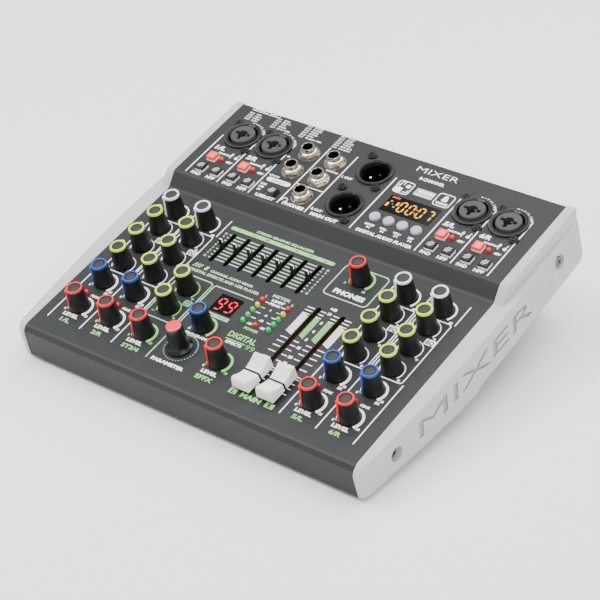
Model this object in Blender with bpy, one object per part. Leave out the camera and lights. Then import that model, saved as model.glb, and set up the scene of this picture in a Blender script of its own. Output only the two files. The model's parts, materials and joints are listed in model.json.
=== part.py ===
"""Compact eight-channel mixing console.

Deck coordinates: x to the right, v up the sloping deck from its front bend, and w out of the deck.
The lower deck is w = 0 and the raised rear deck is w = UPPER_DECK.  World: metres, +Z up, front at -Y.
"""
import math

import bmesh
import bpy
from mathutils import Matrix, Vector

MM = 0.001

# ---- driving dimensions, in millimetres ----
TILT = math.radians(12.0)
DECK_FRONT_Y = -111.73
DECK_FRONT_Z = 25.5
GAP = 0.3

PANEL_HALF = 124.85
SHEET = 1.2
RISER_FOOT_V = 144.1
RISER_TOP_V = 152.7
UPPER_DECK = 8.5
DECK_LENGTH = 229.0
FRONT_LIP = (-1.4, -22.7)
REAR_LIP = 14.0
BEND_RADIUS = 3.0

CHANNEL_X = {"ch1": -103.5, "ch2": -77.5, "ch5": 76.0, "ch6": 102.0}
STEREO_X = -51.0
MONITOR_X = -30.4
PHONES_X = 43.0
KNOB_ROWS = {"gain": 125.5, "eq_high": 108.8, "eq_mid": 90.4, "eq_low": 72.0, "fx": 53.6, "level": 30.0}
EFFECTS = {"fx_program": (-21.0, 50.5), "fx_parameter": (-23.0, 30.0), "fx_level": (6.5, 31.0)}

KNOB_HEIGHT = 16.5
KNOB_BASE_RADIUS = 6.6
KNOB_TOP_RADIUS = 5.0
KNOB_LIFT = 0.8
SHAFT_RADIUS = 3.0
SHAFT_HOLE_RADIUS = 3.7
POT_TOP = -6.3
SIDES_KNOB = 16
SIDES_HOLE = 8

EQ_FIRST_X = -54.85
EQ_PITCH = 11.2
EQ_BANDS = 7
EQ_SLOT = (98.7, 126.2)
EQ_SLOT_WIDTH = 2.8
EQ_LEVER = (2.2, 3.2, 7.4)

MAIN_X = {"left": 33.8, "right": 51.6}
MAIN_SLOT = (24.0, 95.4)
MAIN_SLOT_WIDTH = 3.2
MAIN_REST_V = 29.2
MAIN_CAP = (12.4, 24.0, 10.5)
SLIDER_BODY_TOP = -4.5

BUTTON = 6.6
BUTTON_HOLE = 7.4
BUTTON_RISE = 3.3
BUTTON_DEPTH = 6.0
BUTTON_TRAVEL = 2.0
PHANTOM_V = 172.9
PAD_V = 161.5
PHANTOM_DX = -4.8
PAD_DX = -5.3
HPF_DX = 7.1
USB_BUTTON = (-49.9, 160.6)

KEY_FIRST_X = 23.3
KEY_PITCH = 10.25
KEY_COUNT = 4
KEY_V = 170.0
KEY_RADIUS = 3.8
KEY_RISE = 1.6

EFFECT_WINDOW = (-28.4, -11.4, 64.0, 79.0)
PLAYER_WINDOW = (21.3, 58.2, 176.8, 192.2)

BORE_RADIUS = 3.55
COMBO_V = 199.3
COMBO_RADIUS = 12.4
COMBO_RISE = 1.3
COMBO_INSERT_RISE = 2.4
COMBO_BORE_DEPTH = 20.0
COMBO_GROOVE = (8.0, 9.6)
COMBO_GROOVE_DEPTH = 11.0
XLR_X = -1.0
XLR_ROWS = (205.0, 171.5)
XLR_RADIUS = 12.6
XLR_RISE = 1.5
XLR_CUP_RADIUS = 9.4
XLR_CUP_DEPTH = 15.0
XLR_PIN_CIRCLE = 4.4
XLR_PIN_RADIUS = 1.2
XLR_PIN_TIP = 4.8
XLR_PIN_TURNS = (0.0, 90.0, 180.0)
JACK_ROWS = (202.2, 184.0, 165.9)
JACK_BUSH_RADIUS = 4.5
JACK_BUSH_RISE = 7.0
JACK_BORE_DEPTH = 25.0
JACK_BODY_RADIUS = 7.2
USB_PORT = (39.5, 200.9)
USB_SLOT_HALF = (6.4, 2.8)
USB_CUTOUT_HALF = (6.9, 3.3)
USB_HOUSING_HALF = (7.5, 3.9)
USB_SLOT_DEPTH = 14.0

BOARD_TOP = -14.6
BOARD_THICKNESS = 1.6
BOARD = (-110.0, 110.0, 8.0, 216.0)
SOLDER_OVERLAP = 0.4

CHEEK_INNER = 125.15
CHEEK_EDGE = 0.9
NOSE_RADIUS = 7.0
NOSE_OVERHANG = 1.6
UPPER_CHEEK = (131.2, 132.0)
CHEEK_SCREWS = ((28.5, -13.0), (199.5, -9.5))
CHEEK_SCREW_RADIUS = 5.0
CHEEK_SCREW_DEPTH = 3.5

PAN_FLOOR_Z = 3.0
PAN_WALL = 1.6
PAN_SIDE_SLOPE = 0.25
PAN_REAR = 220.7
PAN_RIM_W = -1.6
FEET = ((-96.0, -88.0), (96.0, -88.0), (-84.0, 88.0), (84.0, 88.0))
FOOT_RADIUS = 6.5
POSTS = ((-60.0, 18.0), (60.0, 18.0), (-70.0, 206.0), (70.0, 206.0))
POST_RADIUS = 3.5
POWER_SWITCH = (-84.0, 42.0)
SWITCH_TILT = math.radians(6.0)
POWER_INLET = (-50.0, 57.0)
INLET_HALF = 4.4
SERVICE_PORT = (-15.0, 57.1)
SERVICE_PORT_HALF = (5.2, 2.1)
VENT_FIRST_X = 23.25
VENT_PITCH = 8.0
VENT_COUNT = 8
VENT_WIDTH = 2.5
VENT_Z = (34.0, 54.0)

# ---- turned profiles, (radius, height) from the axis back to the axis ----
SOLDER = BOARD_TOP - SOLDER_OVERLAP
COMBO_FACE = UPPER_DECK + COMBO_RISE
COMBO_INSERT_FACE = UPPER_DECK + COMBO_INSERT_RISE
COMBO_PROFILE = [(0.0, COMBO_FACE - COMBO_BORE_DEPTH), (BORE_RADIUS, COMBO_FACE - COMBO_BORE_DEPTH),
                 (BORE_RADIUS, COMBO_INSERT_FACE), (COMBO_GROOVE[0], COMBO_INSERT_FACE),
                 (COMBO_GROOVE[0], COMBO_FACE - COMBO_GROOVE_DEPTH),
                 (COMBO_GROOVE[1], COMBO_FACE - COMBO_GROOVE_DEPTH), (COMBO_GROOVE[1], COMBO_FACE),
                 (COMBO_RADIUS, COMBO_FACE), (COMBO_RADIUS, SOLDER), (0.0, SOLDER)]
XLR_FACE = UPPER_DECK + XLR_RISE
XLR_FLOOR = XLR_FACE - XLR_CUP_DEPTH
XLR_PROFILE = [(0.0, XLR_FLOOR), (XLR_CUP_RADIUS, XLR_FLOOR), (XLR_CUP_RADIUS, XLR_FACE),
               (XLR_RADIUS, XLR_FACE), (XLR_RADIUS, SOLDER), (0.0, SOLDER)]
JACK_FACE = UPPER_DECK + JACK_BUSH_RISE
JACK_BODY_TOP = UPPER_DECK - 2.5
JACK_PROFILE = [(0.0, JACK_FACE - JACK_BORE_DEPTH), (BORE_RADIUS, JACK_FACE - JACK_BORE_DEPTH),
                (BORE_RADIUS, JACK_FACE), (JACK_BUSH_RADIUS, JACK_FACE),
                (JACK_BUSH_RADIUS, JACK_BODY_TOP), (JACK_BODY_RADIUS, JACK_BODY_TOP),
                (JACK_BODY_RADIUS, SOLDER), (0.0, SOLDER)]
KNOB_PROFILE = [(0.0, POT_TOP + GAP), (SHAFT_RADIUS, POT_TOP + GAP), (SHAFT_RADIUS, KNOB_LIFT),
                (KNOB_BASE_RADIUS, KNOB_LIFT), (KNOB_TOP_RADIUS, KNOB_HEIGHT), (0.0, KNOB_HEIGHT)]
ENCODER_HEIGHT = KNOB_HEIGHT + 2.0
ENCODER_PROFILE = [(0.0, POT_TOP + GAP), (SHAFT_RADIUS, POT_TOP + GAP), (SHAFT_RADIUS, KNOB_LIFT),
                   (8.4, KNOB_LIFT), (8.2, 1.8), (6.3, 3.4), (5.4, ENCODER_HEIGHT), (0.0, ENCODER_HEIGHT)]
POINTER_SIDE = {"noon": 4, "seven": 11}
POINTER_BUMP = 0.6

for old in list(bpy.data.objects):
    bpy.data.objects.remove(old, do_unlink=True)


# ---- helpers ----
def material(name, colour, roughness, metallic=0.0):
    mat = bpy.data.materials.new(name)
    mat.use_nodes = True
    shader = mat.node_tree.nodes["Principled BSDF"]
    shader.inputs["Base Color"].default_value = (*colour, 1.0)
    shader.inputs["Roughness"].default_value = roughness
    shader.inputs["Metallic"].default_value = metallic
    return mat


STEEL = material("chassis_steel", (0.045, 0.045, 0.048), 0.55, 0.3)
CHEEK = material("cheek_plastic", (0.60, 0.60, 0.61), 0.5)
KNOB = material("knob_plastic", (0.02, 0.02, 0.022), 0.6)
GLOSS = material("encoder_plastic", (0.015, 0.015, 0.016), 0.25)
WHITE = material("fader_cap_plastic", (0.85, 0.85, 0.85), 0.45)
RED = material("phantom_button_plastic", (0.75, 0.12, 0.10), 0.3)
DARK = material("push_button_plastic", (0.06, 0.06, 0.065), 0.45)
KEYS = material("player_key_plastic", (0.55, 0.56, 0.58), 0.45)
BOARD_MAT = material("board_assembly", (0.03, 0.05, 0.035), 0.5)

deck = bpy.data.objects.new("deck", None)
bpy.context.collection.objects.link(deck)
deck.location = (0.0, DECK_FRONT_Y * MM, DECK_FRONT_Z * MM)
deck.rotation_euler = (TILT, 0.0, 0.0)
bpy.context.view_layer.update()


def new_object(name, bm, mat, parent=deck, place=(0.0, 0.0, 0.0)):
    """Turn a bmesh in millimetres into an object in metres, placed in its parent's frame."""
    bmesh.ops.recalc_face_normals(bm, faces=bm.faces)
    bmesh.ops.scale(bm, vec=(MM, MM, MM), verts=bm.verts)
    mesh = bpy.data.meshes.new(name)
    bm.to_mesh(mesh)
    bm.free()
    mesh.materials.append(mat)
    mesh.shade_smooth()
    mesh.set_sharp_from_angle(angle=math.radians(35))
    obj = bpy.data.objects.new(name, mesh)
    bpy.context.collection.objects.link(obj)
    obj.parent = parent
    obj.location = Vector(place) * MM
    return obj


def box_into(bm, low, high):
    """Add an axis-aligned box between two corners."""
    size = Vector(high) - Vector(low)
    middle = (Vector(high) + Vector(low)) / 2
    matrix = Matrix.Translation(middle) @ Matrix.Diagonal((*size, 1.0))
    bmesh.ops.create_cube(bm, size=1.0, matrix=matrix)


def prism_into(bm, x, v, radius, low, high, sides):
    """Add an upright prism with a flat side facing +x."""
    turn = Matrix.Rotation(math.pi / sides, 4, "Z")
    matrix = Matrix.Translation((x, v, (low + high) / 2)) @ turn
    bmesh.ops.create_cone(bm, cap_ends=True, segments=sides, radius1=radius, radius2=radius,
                          depth=high - low, matrix=matrix)


def turned_into(bm, profile, sides, centre=(0.0, 0.0), pointer=None):
    """Turn a closed (radius, height) profile that starts and ends on the axis.

    pointer = (angle, extra radius, lowest height) pulls one column of points outwards."""
    rings = []
    for radius, height in profile:
        if radius == 0.0:
            rings.append([bm.verts.new((centre[0], centre[1], height))])
            continue
        ring = []
        for side in range(sides):
            angle = math.tau * side / sides
            reach = radius
            if pointer and side == pointer[0] and height > pointer[2]:
                reach += pointer[1]
            ring.append(bm.verts.new((centre[0] + reach * math.cos(angle),
                                      centre[1] + reach * math.sin(angle), height)))
        rings.append(ring)
    for lower, upper in zip(rings, rings[1:]):
        for side in range(sides):
            after = (side + 1) % sides
            quad = [lower[side % len(lower)], lower[after % len(lower)],
                    upper[after % len(upper)], upper[side % len(upper)]]
            bm.faces.new(list(dict.fromkeys(quad)))


def boolean(obj, tool, operation):
    mod = obj.modifiers.new(operation.lower(), "BOOLEAN")
    mod.operation = operation
    mod.solver = "EXACT"
    mod.object = tool
    tool.hide_render = True
    tool.display_type = "WIRE"


def extrude_outline(bm, outline, x_low, x_high):
    """Extrude a closed (v, w) outline along x."""
    low = [bm.verts.new((x_low, v, w)) for v, w in outline]
    high = [bm.verts.new((x_high, v, w)) for v, w in outline]
    bm.faces.new(low)
    bm.faces.new(list(reversed(high)))
    for i in range(len(outline)):
        j = (i + 1) % len(outline)
        bm.faces.new((low[i], high[i], high[j], low[j]))


def rounded(points, radii, steps=3):
    """Round the inner corners of an open line of (v, w) points with arcs."""
    line = [Vector(points[0])]
    for before, corner, after, radius in zip(points, points[1:], points[2:], radii):
        corner = Vector(corner)
        to_before = (Vector(before) - corner).normalized()
        to_after = (Vector(after) - corner).normalized()
        half = to_before.angle(to_after) / 2
        reach = radius / math.tan(half)
        centre = corner + (to_before + to_after).normalized() * (radius / math.sin(half))
        start = corner + to_before * reach - centre
        end = corner + to_after * reach - centre
        for step in range(steps + 1):
            spoke = start.lerp(end, step / steps).normalized() * radius
            line.append(centre + spoke)
    line.append(Vector(points[-1]))
    return line


def offset_line(line, distance):
    """Offset an open line sideways with mitred joints."""
    moved = []
    for i, point in enumerate(line):
        normals = []
        for a, b in ((i - 1, i), (i, i + 1)):
            if a >= 0 and b < len(line):
                run = (line[b] - line[a]).normalized()
                normals.append(Vector((run.y, -run.x)))
        mitre = sum(normals, Vector((0.0, 0.0)))
        mitre.normalize()
        moved.append(point + mitre * (distance / mitre.dot(normals[0])))
    return moved


def deck_z(v, w):
    return DECK_FRONT_Z + v * math.sin(TILT) + w * math.cos(TILT)


def deck_y(v, w):
    return DECK_FRONT_Y + v * math.cos(TILT) - w * math.sin(TILT)


# ---- where every control sits: name -> (x, v) ----
knob_places = {}
for channel, x in CHANNEL_X.items():
    for row, v in KNOB_ROWS.items():
        knob_places[f"{channel}_{row}_knob"] = (x, v)
for row, source in (("eq_high", "eq_low"), ("eq_low", "fx"), ("level", "level")):
    knob_places[f"ch3_4_{row}_knob"] = (STEREO_X, KNOB_ROWS[source])
for name, place in EFFECTS.items():
    knob_places[f"{name}_knob"] = place
knob_places["phones_level_knob"] = (PHONES_X, KNOB_ROWS["gain"])

button_places = {}
for channel, x in CHANNEL_X.items():
    button_places[f"{channel}_phantom_button"] = (x + PHANTOM_DX, PHANTOM_V)
    button_places[f"{channel}_pad_button"] = (x + PAD_DX, PAD_V)
    button_places[f"{channel}_hpf_button"] = (x + HPF_DX, PAD_V)
button_places["usb_input_button"] = USB_BUTTON

jack_places = [(STEREO_X, JACK_ROWS[0]), (STEREO_X, JACK_ROWS[1])]
jack_places += [(MONITOR_X, v) for v in JACK_ROWS]
key_places = [(KEY_FIRST_X + KEY_PITCH * i, KEY_V) for i in range(KEY_COUNT)]
eq_places = [EQ_FIRST_X + EQ_PITCH * i for i in range(EQ_BANDS)]


# ---- top panel: one bent and punched steel sheet ----
def make_top_panel():
    rear_end = (DECK_LENGTH - REAR_LIP * math.sin(TILT), UPPER_DECK - REAR_LIP * math.cos(TILT))
    corners = [FRONT_LIP, (0.0, 0.0), (RISER_FOOT_V, 0.0), (RISER_TOP_V, UPPER_DECK),
               (DECK_LENGTH, UPPER_DECK), rear_end]
    outer = rounded(corners, (BEND_RADIUS, 4.0, 4.0, 2.0))
    inner = offset_line(outer, SHEET)
    bm = bmesh.new()
    outline = [tuple(p) for p in outer] + [tuple(p) for p in reversed(inner)]
    extrude_outline(bm, outline, -PANEL_HALF, PANEL_HALF)
    panel = new_object("top_panel", bm, STEEL)

    cut = bmesh.new()
    for x, v in knob_places.values():
        prism_into(cut, x, v, SHAFT_HOLE_RADIUS, -4.0, 3.0, SIDES_HOLE)
    for x in eq_places:
        half = EQ_SLOT_WIDTH / 2
        box_into(cut, (x - half, EQ_SLOT[0], -4.0), (x + half, EQ_SLOT[1], 3.0))
    for x in MAIN_X.values():
        half = MAIN_SLOT_WIDTH / 2
        box_into(cut, (x - half, MAIN_SLOT[0], -4.0), (x + half, MAIN_SLOT[1], 3.0))
    x_low, x_high, v_low, v_high = EFFECT_WINDOW
    box_into(cut, (x_low, v_low, -4.0), (x_high, v_high, 3.0))

    low, high = UPPER_DECK - 4.0, UPPER_DECK + 3.0
    half = BUTTON_HOLE / 2
    for x, v in button_places.values():
        box_into(cut, (x - half, v - half, low), (x + half, v + half, high))
    for x, v in key_places:
        prism_into(cut, x, v, KEY_RADIUS + 0.4, low, high, 12)
    x_low, x_high, v_low, v_high = PLAYER_WINDOW
    box_into(cut, (x_low, v_low, low), (x_high, v_high, high))
    for x in CHANNEL_X.values():
        prism_into(cut, x, COMBO_V, COMBO_RADIUS + 0.4, low, high, 20)
    for v in XLR_ROWS:
        prism_into(cut, XLR_X, v, XLR_RADIUS + 0.4, low, high, 20)
    for x, v in jack_places:
        prism_into(cut, x, v, JACK_BUSH_RADIUS + 0.4, low, high, 12)
    x, v = USB_PORT
    half_x, half_v = USB_CUTOUT_HALF
    box_into(cut, (x - half_x, v - half_v, low), (x + half_x, v + half_v, high))
    boolean(panel, new_object("panel_cutouts", cut, STEEL), "DIFFERENCE")


# ---- cheeks: light plastic end pieces, thin at the nose and fuller towards the rear ----
def cheek_reach(v):
    """Outer face of a cheek: it swells along an ease-out curve."""
    t = min(max(v / 130.0, 0.0), 1.0)
    return 130.4 + 6.8 * (1.0 - (1.0 - t) ** 1.8)


def cheek_top_reach(v):
    """Outer face at the top edge, drawn in again beside the raised rear deck."""
    t = max(v - 148.0, 0.0) / (DECK_LENGTH - 148.0)
    return cheek_reach(v) - 4.6 * t


def cheek_slices():
    """(v, w) of the top and of the bottom edge at each slice: nose, straight front, raised rear."""
    slices = [(-NOSE_OVERHANG, -NOSE_RADIUS, -1.2, -22.9)]
    for step in range(1, 5):
        turn = math.radians(22.5 * step)
        v = NOSE_RADIUS * (1.0 - math.cos(turn)) - NOSE_OVERHANG
        slices.append((v, -NOSE_RADIUS * (1.0 - math.sin(turn)), v, -23.0 - 0.09 * v))
    for v in (15.0, 30.0, 47.0, 66.0, 86.0):
        slices.append((v, 0.0, v, -23.0 - 0.092 * v))
    slices += [(101.0, 0.0, 101.0, -31.8), (107.0, 0.0, 107.0, -29.2), (130.0, 0.0, 130.0, -28.4),
               (148.0, 0.0, 147.0, -27.8), (165.0, 0.0, 164.0, -27.2), (200.0, 0.0, 197.0, -26.0),
               (224.5, 0.0, 218.5, -24.6), (227.2, 0.0, 221.6, -22.0)]
    return slices


def loft(bm, sections):
    """Skin a row of same-length rings and close both ends."""
    rings = [[bm.verts.new(p) for p in section] for section in sections]
    for a, b in zip(rings, rings[1:]):
        for i in range(len(a)):
            j = (i + 1) % len(a)
            bm.faces.new((a[i], a[j], b[j], b[i]))
    bm.faces.new(list(reversed(rings[0])))
    bm.faces.new(rings[-1])


def cheek_section(top, bottom, outer_top, outer_low, edge):
    """One slice of a cheek, from its inner top edge round the outside to its inner bottom edge."""
    top, bottom = Vector(top), Vector(bottom)
    step = (top - bottom) * (edge / (top - bottom).length)
    high, low = top - step, bottom + step
    return [(CHEEK_INNER, *top), (outer_top - edge, *top), (outer_top, *high),
            (outer_low, *low), (outer_low - edge, *bottom), (CHEEK_INNER, *bottom)]


def make_cheek(name, side):
    bm = bmesh.new()
    sections = []
    for v_top, w_top, v_low, w_low in cheek_slices():
        sections.append(cheek_section((v_top, w_top), (v_low, w_low), cheek_top_reach(v_top),
                                      cheek_reach(v_low), CHEEK_EDGE))
    loft(bm, sections)
    bmesh.ops.scale(bm, vec=(side, 1.0, 1.0), verts=bm.verts)
    cheek = new_object(name, bm, CHEEK)

    upper = bmesh.new()
    sections = []
    for v_top, w_top, v_low in ((RISER_FOOT_V - 1.8, -0.9, RISER_FOOT_V - 2.6), (RISER_TOP_V, UPPER_DECK, 154.0),
                                (190.0, UPPER_DECK, 189.0), (DECK_LENGTH, UPPER_DECK, 226.6)):
        sections.append(cheek_section((v_top, w_top), (v_low, -2.5), *UPPER_CHEEK, 0.8))
    loft(upper, sections)
    bmesh.ops.scale(upper, vec=(side, 1.0, 1.0), verts=upper.verts)
    boolean(cheek, new_object(f"{name}_upper_box", upper, CHEEK), "UNION")

    recess = bmesh.new()
    turn = Matrix.Rotation(math.pi / 2, 4, "Y")
    for v, w in CHEEK_SCREWS:
        matrix = Matrix.Translation((side * cheek_reach(v), v, w)) @ turn
        bmesh.ops.create_cone(recess, cap_ends=True, segments=16, radius1=CHEEK_SCREW_RADIUS,
                              radius2=CHEEK_SCREW_RADIUS, depth=2 * CHEEK_SCREW_DEPTH, matrix=matrix)
    boolean(cheek, new_object(f"{name}_screw_recesses", recess, CHEEK), "DIFFERENCE")


# ---- base pan: folded tub with sloping sides, feet and board posts ----
def pan_half_width(w):
    return PANEL_HALF - 0.85 + PAN_SIDE_SLOPE * w


def tub_corners(inset, floor_z, rim_w):
    """Eight corners of a tub whose rim lies parallel to the deck, inset evenly from the outer one."""
    front_y = deck_y(FRONT_LIP[0], FRONT_LIP[1]) + SHEET + 0.8 + inset
    rear_y = DECK_FRONT_Y + PAN_REAR - inset
    corners = []
    for y in (front_y, rear_y):
        v_floor = (y - DECK_FRONT_Y) * math.cos(TILT) + (floor_z - DECK_FRONT_Z) * math.sin(TILT)
        w_floor = (floor_z - DECK_FRONT_Z) * math.cos(TILT) - (y - DECK_FRONT_Y) * math.sin(TILT)
        v_rim = (y - DECK_FRONT_Y + rim_w * math.sin(TILT)) / math.cos(TILT)
        half_floor = pan_half_width(w_floor) - inset
        half_rim = pan_half_width(rim_w) - inset
        corners.append((half_floor, y, floor_z))
        corners.append((half_rim, y, deck_z(v_rim, rim_w)))
    return corners


def tub_into(bm, corners):
    front_low, front_high, rear_low, rear_high = corners
    rings = []
    for low, high in ((front_low, front_high), (rear_low, rear_high)):
        rings.append([(-low[0], low[1], low[2]), (low[0], low[1], low[2]),
                      (high[0], high[1], high[2]), (-high[0], high[1], high[2])])
    loft(bm, rings)


def make_base_pan():
    bm = bmesh.new()
    tub_into(bm, tub_corners(0.0, PAN_FLOOR_Z, PAN_RIM_W))
    pan = new_object("base_pan", bm, STEEL, parent=None)
    hollow = bmesh.new()
    tub_into(hollow, tub_corners(PAN_WALL, PAN_FLOOR_Z + PAN_WALL, PAN_RIM_W + 6.0))
    boolean(pan, new_object("pan_hollow", hollow, STEEL, parent=None), "DIFFERENCE")

    extra = bmesh.new()
    inside = PAN_FLOOR_Z + PAN_WALL / 2
    for x, y in FEET:
        prism_into(extra, x, y, FOOT_RADIUS, 0.0, inside, 12)
    for x, v in POSTS:
        top = deck_z(v, BOARD_TOP - BOARD_THICKNESS) - 1.4
        prism_into(extra, x, deck_y(v, BOARD_TOP), POST_RADIUS, inside, top, 8)
    boolean(pan, new_object("pan_feet_and_posts", extra, STEEL, parent=None), "UNION")

    cut = bmesh.new()
    openings = [(POWER_SWITCH, (5.2, 7.8)), (POWER_INLET, (INLET_HALF, INLET_HALF)),
                (SERVICE_PORT, SERVICE_PORT_HALF)]
    vent_half = (VENT_WIDTH / 2, (VENT_Z[1] - VENT_Z[0]) / 2)
    for i in range(VENT_COUNT):
        openings.append(((VENT_FIRST_X + VENT_PITCH * i, sum(VENT_Z) / 2), vent_half))
    wall_low, wall_high = DECK_FRONT_Y + PAN_REAR - 5.0, DECK_FRONT_Y + PAN_REAR + 4.0
    for (x, z), (half_x, half_z) in openings:
        box_into(cut, (x - half_x, wall_low, z - half_z), (x + half_x, wall_high, z + half_z))
    boolean(pan, new_object("rear_wall_cutouts", cut, STEEL, parent=None), "DIFFERENCE")


# ---- main board: the circuit board with all that is soldered to it ----
def make_main_board():
    x_low, x_high, v_low, v_high = BOARD
    bm = bmesh.new()
    box_into(bm, (x_low, v_low, BOARD_TOP - BOARD_THICKNESS), (x_high, v_high, BOARD_TOP))
    board = new_object("main_board", bm, BOARD_MAT)

    parts = bmesh.new()
    for x, v in knob_places.values():
        box_into(parts, (x - 4.8, v - 5.2, SOLDER), (x + 4.8, v + 5.2, POT_TOP))
    for x in eq_places:
        box_into(parts, (x - 3.6, EQ_SLOT[0] - 6.0, SOLDER), (x + 3.6, EQ_SLOT[1] + 6.0, SLIDER_BODY_TOP))
    for x in MAIN_X.values():
        box_into(parts, (x - 4.5, MAIN_SLOT[0] - 5.0, SOLDER),
                 (x + 4.5, MAIN_SLOT[1] + 5.0, SLIDER_BODY_TOP))
    switch_top = UPPER_DECK - BUTTON_DEPTH - BUTTON_TRAVEL - 0.4
    for x, v in button_places.values():
        box_into(parts, (x - 3.0, v - 3.0, SOLDER), (x + 3.0, v + 3.0, switch_top))
    for x, v in key_places:
        box_into(parts, (x - 2.5, v - 2.5, SOLDER), (x + 2.5, v + 2.5, UPPER_DECK - 4.7))
    for window, face in ((EFFECT_WINDOW, -0.2), (PLAYER_WINDOW, UPPER_DECK - 0.2)):
        box_into(parts, (window[0] + GAP, window[2] + GAP, SOLDER), (window[1] - GAP, window[3] - GAP, face))
    for x in CHANNEL_X.values():
        turned_into(parts, COMBO_PROFILE, 20, (x, COMBO_V))
    for v in XLR_ROWS:
        turned_into(parts, XLR_PROFILE, 20, (XLR_X, v))
    for x, v in jack_places:
        turned_into(parts, JACK_PROFILE, 12, (x, v))
    x, v = USB_PORT
    half_x, half_v = USB_HOUSING_HALF
    box_into(parts, (x - half_x, v - half_v, SOLDER), (x + half_x, v + half_v, UPPER_DECK - SHEET - GAP))
    boolean(board, new_object("board_parts", parts, BOARD_MAT), "UNION")

    pins = bmesh.new()
    for v in XLR_ROWS:
        for turn in XLR_PIN_TURNS:
            angle = math.radians(turn)
            x = XLR_X + XLR_PIN_CIRCLE * math.cos(angle)
            pin_v = v + XLR_PIN_CIRCLE * math.sin(angle)
            prism_into(pins, x, pin_v, XLR_PIN_RADIUS, XLR_FLOOR - 0.5, UPPER_DECK - XLR_PIN_TIP, 6)
    boolean(board, new_object("output_pins", pins, BOARD_MAT), "UNION")

    rear = bmesh.new()
    inner_wall = DECK_FRONT_Y + PAN_REAR - PAN_WALL - GAP
    for (x, z), half_x, half_z, depth in ((POWER_INLET, 4.0, 4.0, 14.0), (SERVICE_PORT, 4.8, 2.5, 12.0)):
        box_into(rear, (x - half_x, inner_wall - depth, z - half_z), (x + half_x, inner_wall, z + half_z))
    boolean(board, new_object("rear_sockets", rear, BOARD_MAT, parent=None), "UNION")

    cut = bmesh.new()
    x, v = USB_PORT
    half_x, half_v = USB_SLOT_HALF
    box_into(cut, (x - half_x, v - half_v, UPPER_DECK - USB_SLOT_DEPTH),
             (x + half_x, v + half_v, UPPER_DECK + 2.0))
    boolean(board, new_object("usb_slot", cut, BOARD_MAT), "DIFFERENCE")
    barrel = bmesh.new()
    turn = Matrix.Rotation(math.pi / 2, 4, "X")
    x, z = POWER_INLET
    matrix = Matrix.Translation((x, inner_wall - 3.0, z)) @ turn
    bmesh.ops.create_cone(barrel, cap_ends=True, segments=12, radius1=3.0, radius2=3.0, depth=14.0,
                          matrix=matrix)
    boolean(board, new_object("power_inlet_bore", barrel, BOARD_MAT, parent=None), "DIFFERENCE")


# ---- moving controls ----
def make_knobs():
    for name, (x, v) in knob_places.items():
        bm = bmesh.new()
        if name == "fx_parameter_knob":
            turned_into(bm, ENCODER_PROFILE, SIDES_KNOB)
            new_object(name, bm, GLOSS, place=(x, v, 0.0))
            continue
        rest = "noon" if "_eq_" in name else "seven"
        turned_into(bm, KNOB_PROFILE, SIDES_KNOB, pointer=(POINTER_SIDE[rest], POINTER_BUMP, KNOB_LIFT + 1.0))
        new_object(name, bm, KNOB, place=(x, v, 0.0))


def make_faders():
    width, length, height = MAIN_CAP
    for side, x in MAIN_X.items():
        bm = bmesh.new()
        waist = height * 0.62
        outline = [(-length / 2, 2.6), (length / 2, 2.6), (length / 2, 4.2), (length / 2 - 2.2, height),
                   (1.6, waist), (-1.6, waist), (-length / 2 + 2.2, height), (-length / 2, 4.2)]
        extrude_outline(bm, outline, -width / 2, width / 2)
        cap = new_object(f"main_fader_{side}", bm, WHITE, place=(x, MAIN_REST_V, 0.0))
        stem = bmesh.new()
        box_into(stem, (-0.8, -2.0, SLIDER_BODY_TOP + GAP), (0.8, 2.0, 3.4))
        post = new_object(f"main_fader_{side}_stem", stem, WHITE, place=(x, MAIN_REST_V, 0.0))
        boolean(cap, post, "UNION")


def make_eq_sliders():
    middle = sum(EQ_SLOT) / 2
    width, length, height = EQ_LEVER
    for band, x in enumerate(eq_places, start=1):
        bm = bmesh.new()
        box_into(bm, (-width / 2, -length / 2, SLIDER_BODY_TOP + GAP), (width / 2, length / 2, height))
        new_object(f"graphic_eq_slider_{band}", bm, KNOB, place=(x, middle, 0.0))


def make_buttons():
    half = BUTTON / 2
    for name, (x, v) in button_places.items():
        bm = bmesh.new()
        box_into(bm, (-half, -half, -BUTTON_DEPTH), (half, half, BUTTON_RISE))
        mat = RED if "phantom" in name else DARK
        new_object(name, bm, mat, place=(x, v, UPPER_DECK))
    strip = bmesh.new()
    x_first, x_last = key_places[0][0], key_places[-1][0]
    box_into(strip, (x_first - 5.0, -4.0, -3.6), (x_last + 5.0, 4.0, -2.2))
    strip_obj = new_object("player_key_strip", strip, KEYS, place=(0.0, KEY_V, UPPER_DECK))
    caps = bmesh.new()
    for x, _ in key_places:
        prism_into(caps, x, 0.0, KEY_RADIUS, -2.8, KEY_RISE, 12)
    boolean(strip_obj, new_object("player_key_caps", caps, KEYS, place=(0.0, KEY_V, UPPER_DECK)), "UNION")


def make_power_switch():
    x, z = POWER_SWITCH
    bm = bmesh.new()
    box_into(bm, (-4.7, -4.0, -7.0), (4.7, 3.2, 7.0))
    switch = new_object("power_switch", bm, DARK, parent=None,
                        place=(x, DECK_FRONT_Y + PAN_REAR - 1.0, z))
    switch.rotation_euler = (SWITCH_TILT, 0.0, 0.0)


make_top_panel()
make_cheek("cheek_left", -1.0)
make_cheek("cheek_right", 1.0)
make_base_pan()
make_main_board()
make_knobs()
make_faders()
make_eq_sliders()
make_buttons()
make_power_switch()
bpy.context.view_layer.update()
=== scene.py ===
"""Mixing console: the looks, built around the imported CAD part.

Deck coordinates, in millimetres, are used for nearly everything: x to the right, v up the sloping
deck from its front bend, w out of the deck.  The lower deck is w = 0, the raised rear deck w = UPPER.
"""

import json
import math

import bmesh
import bpy
from mathutils import Matrix, Vector


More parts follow.
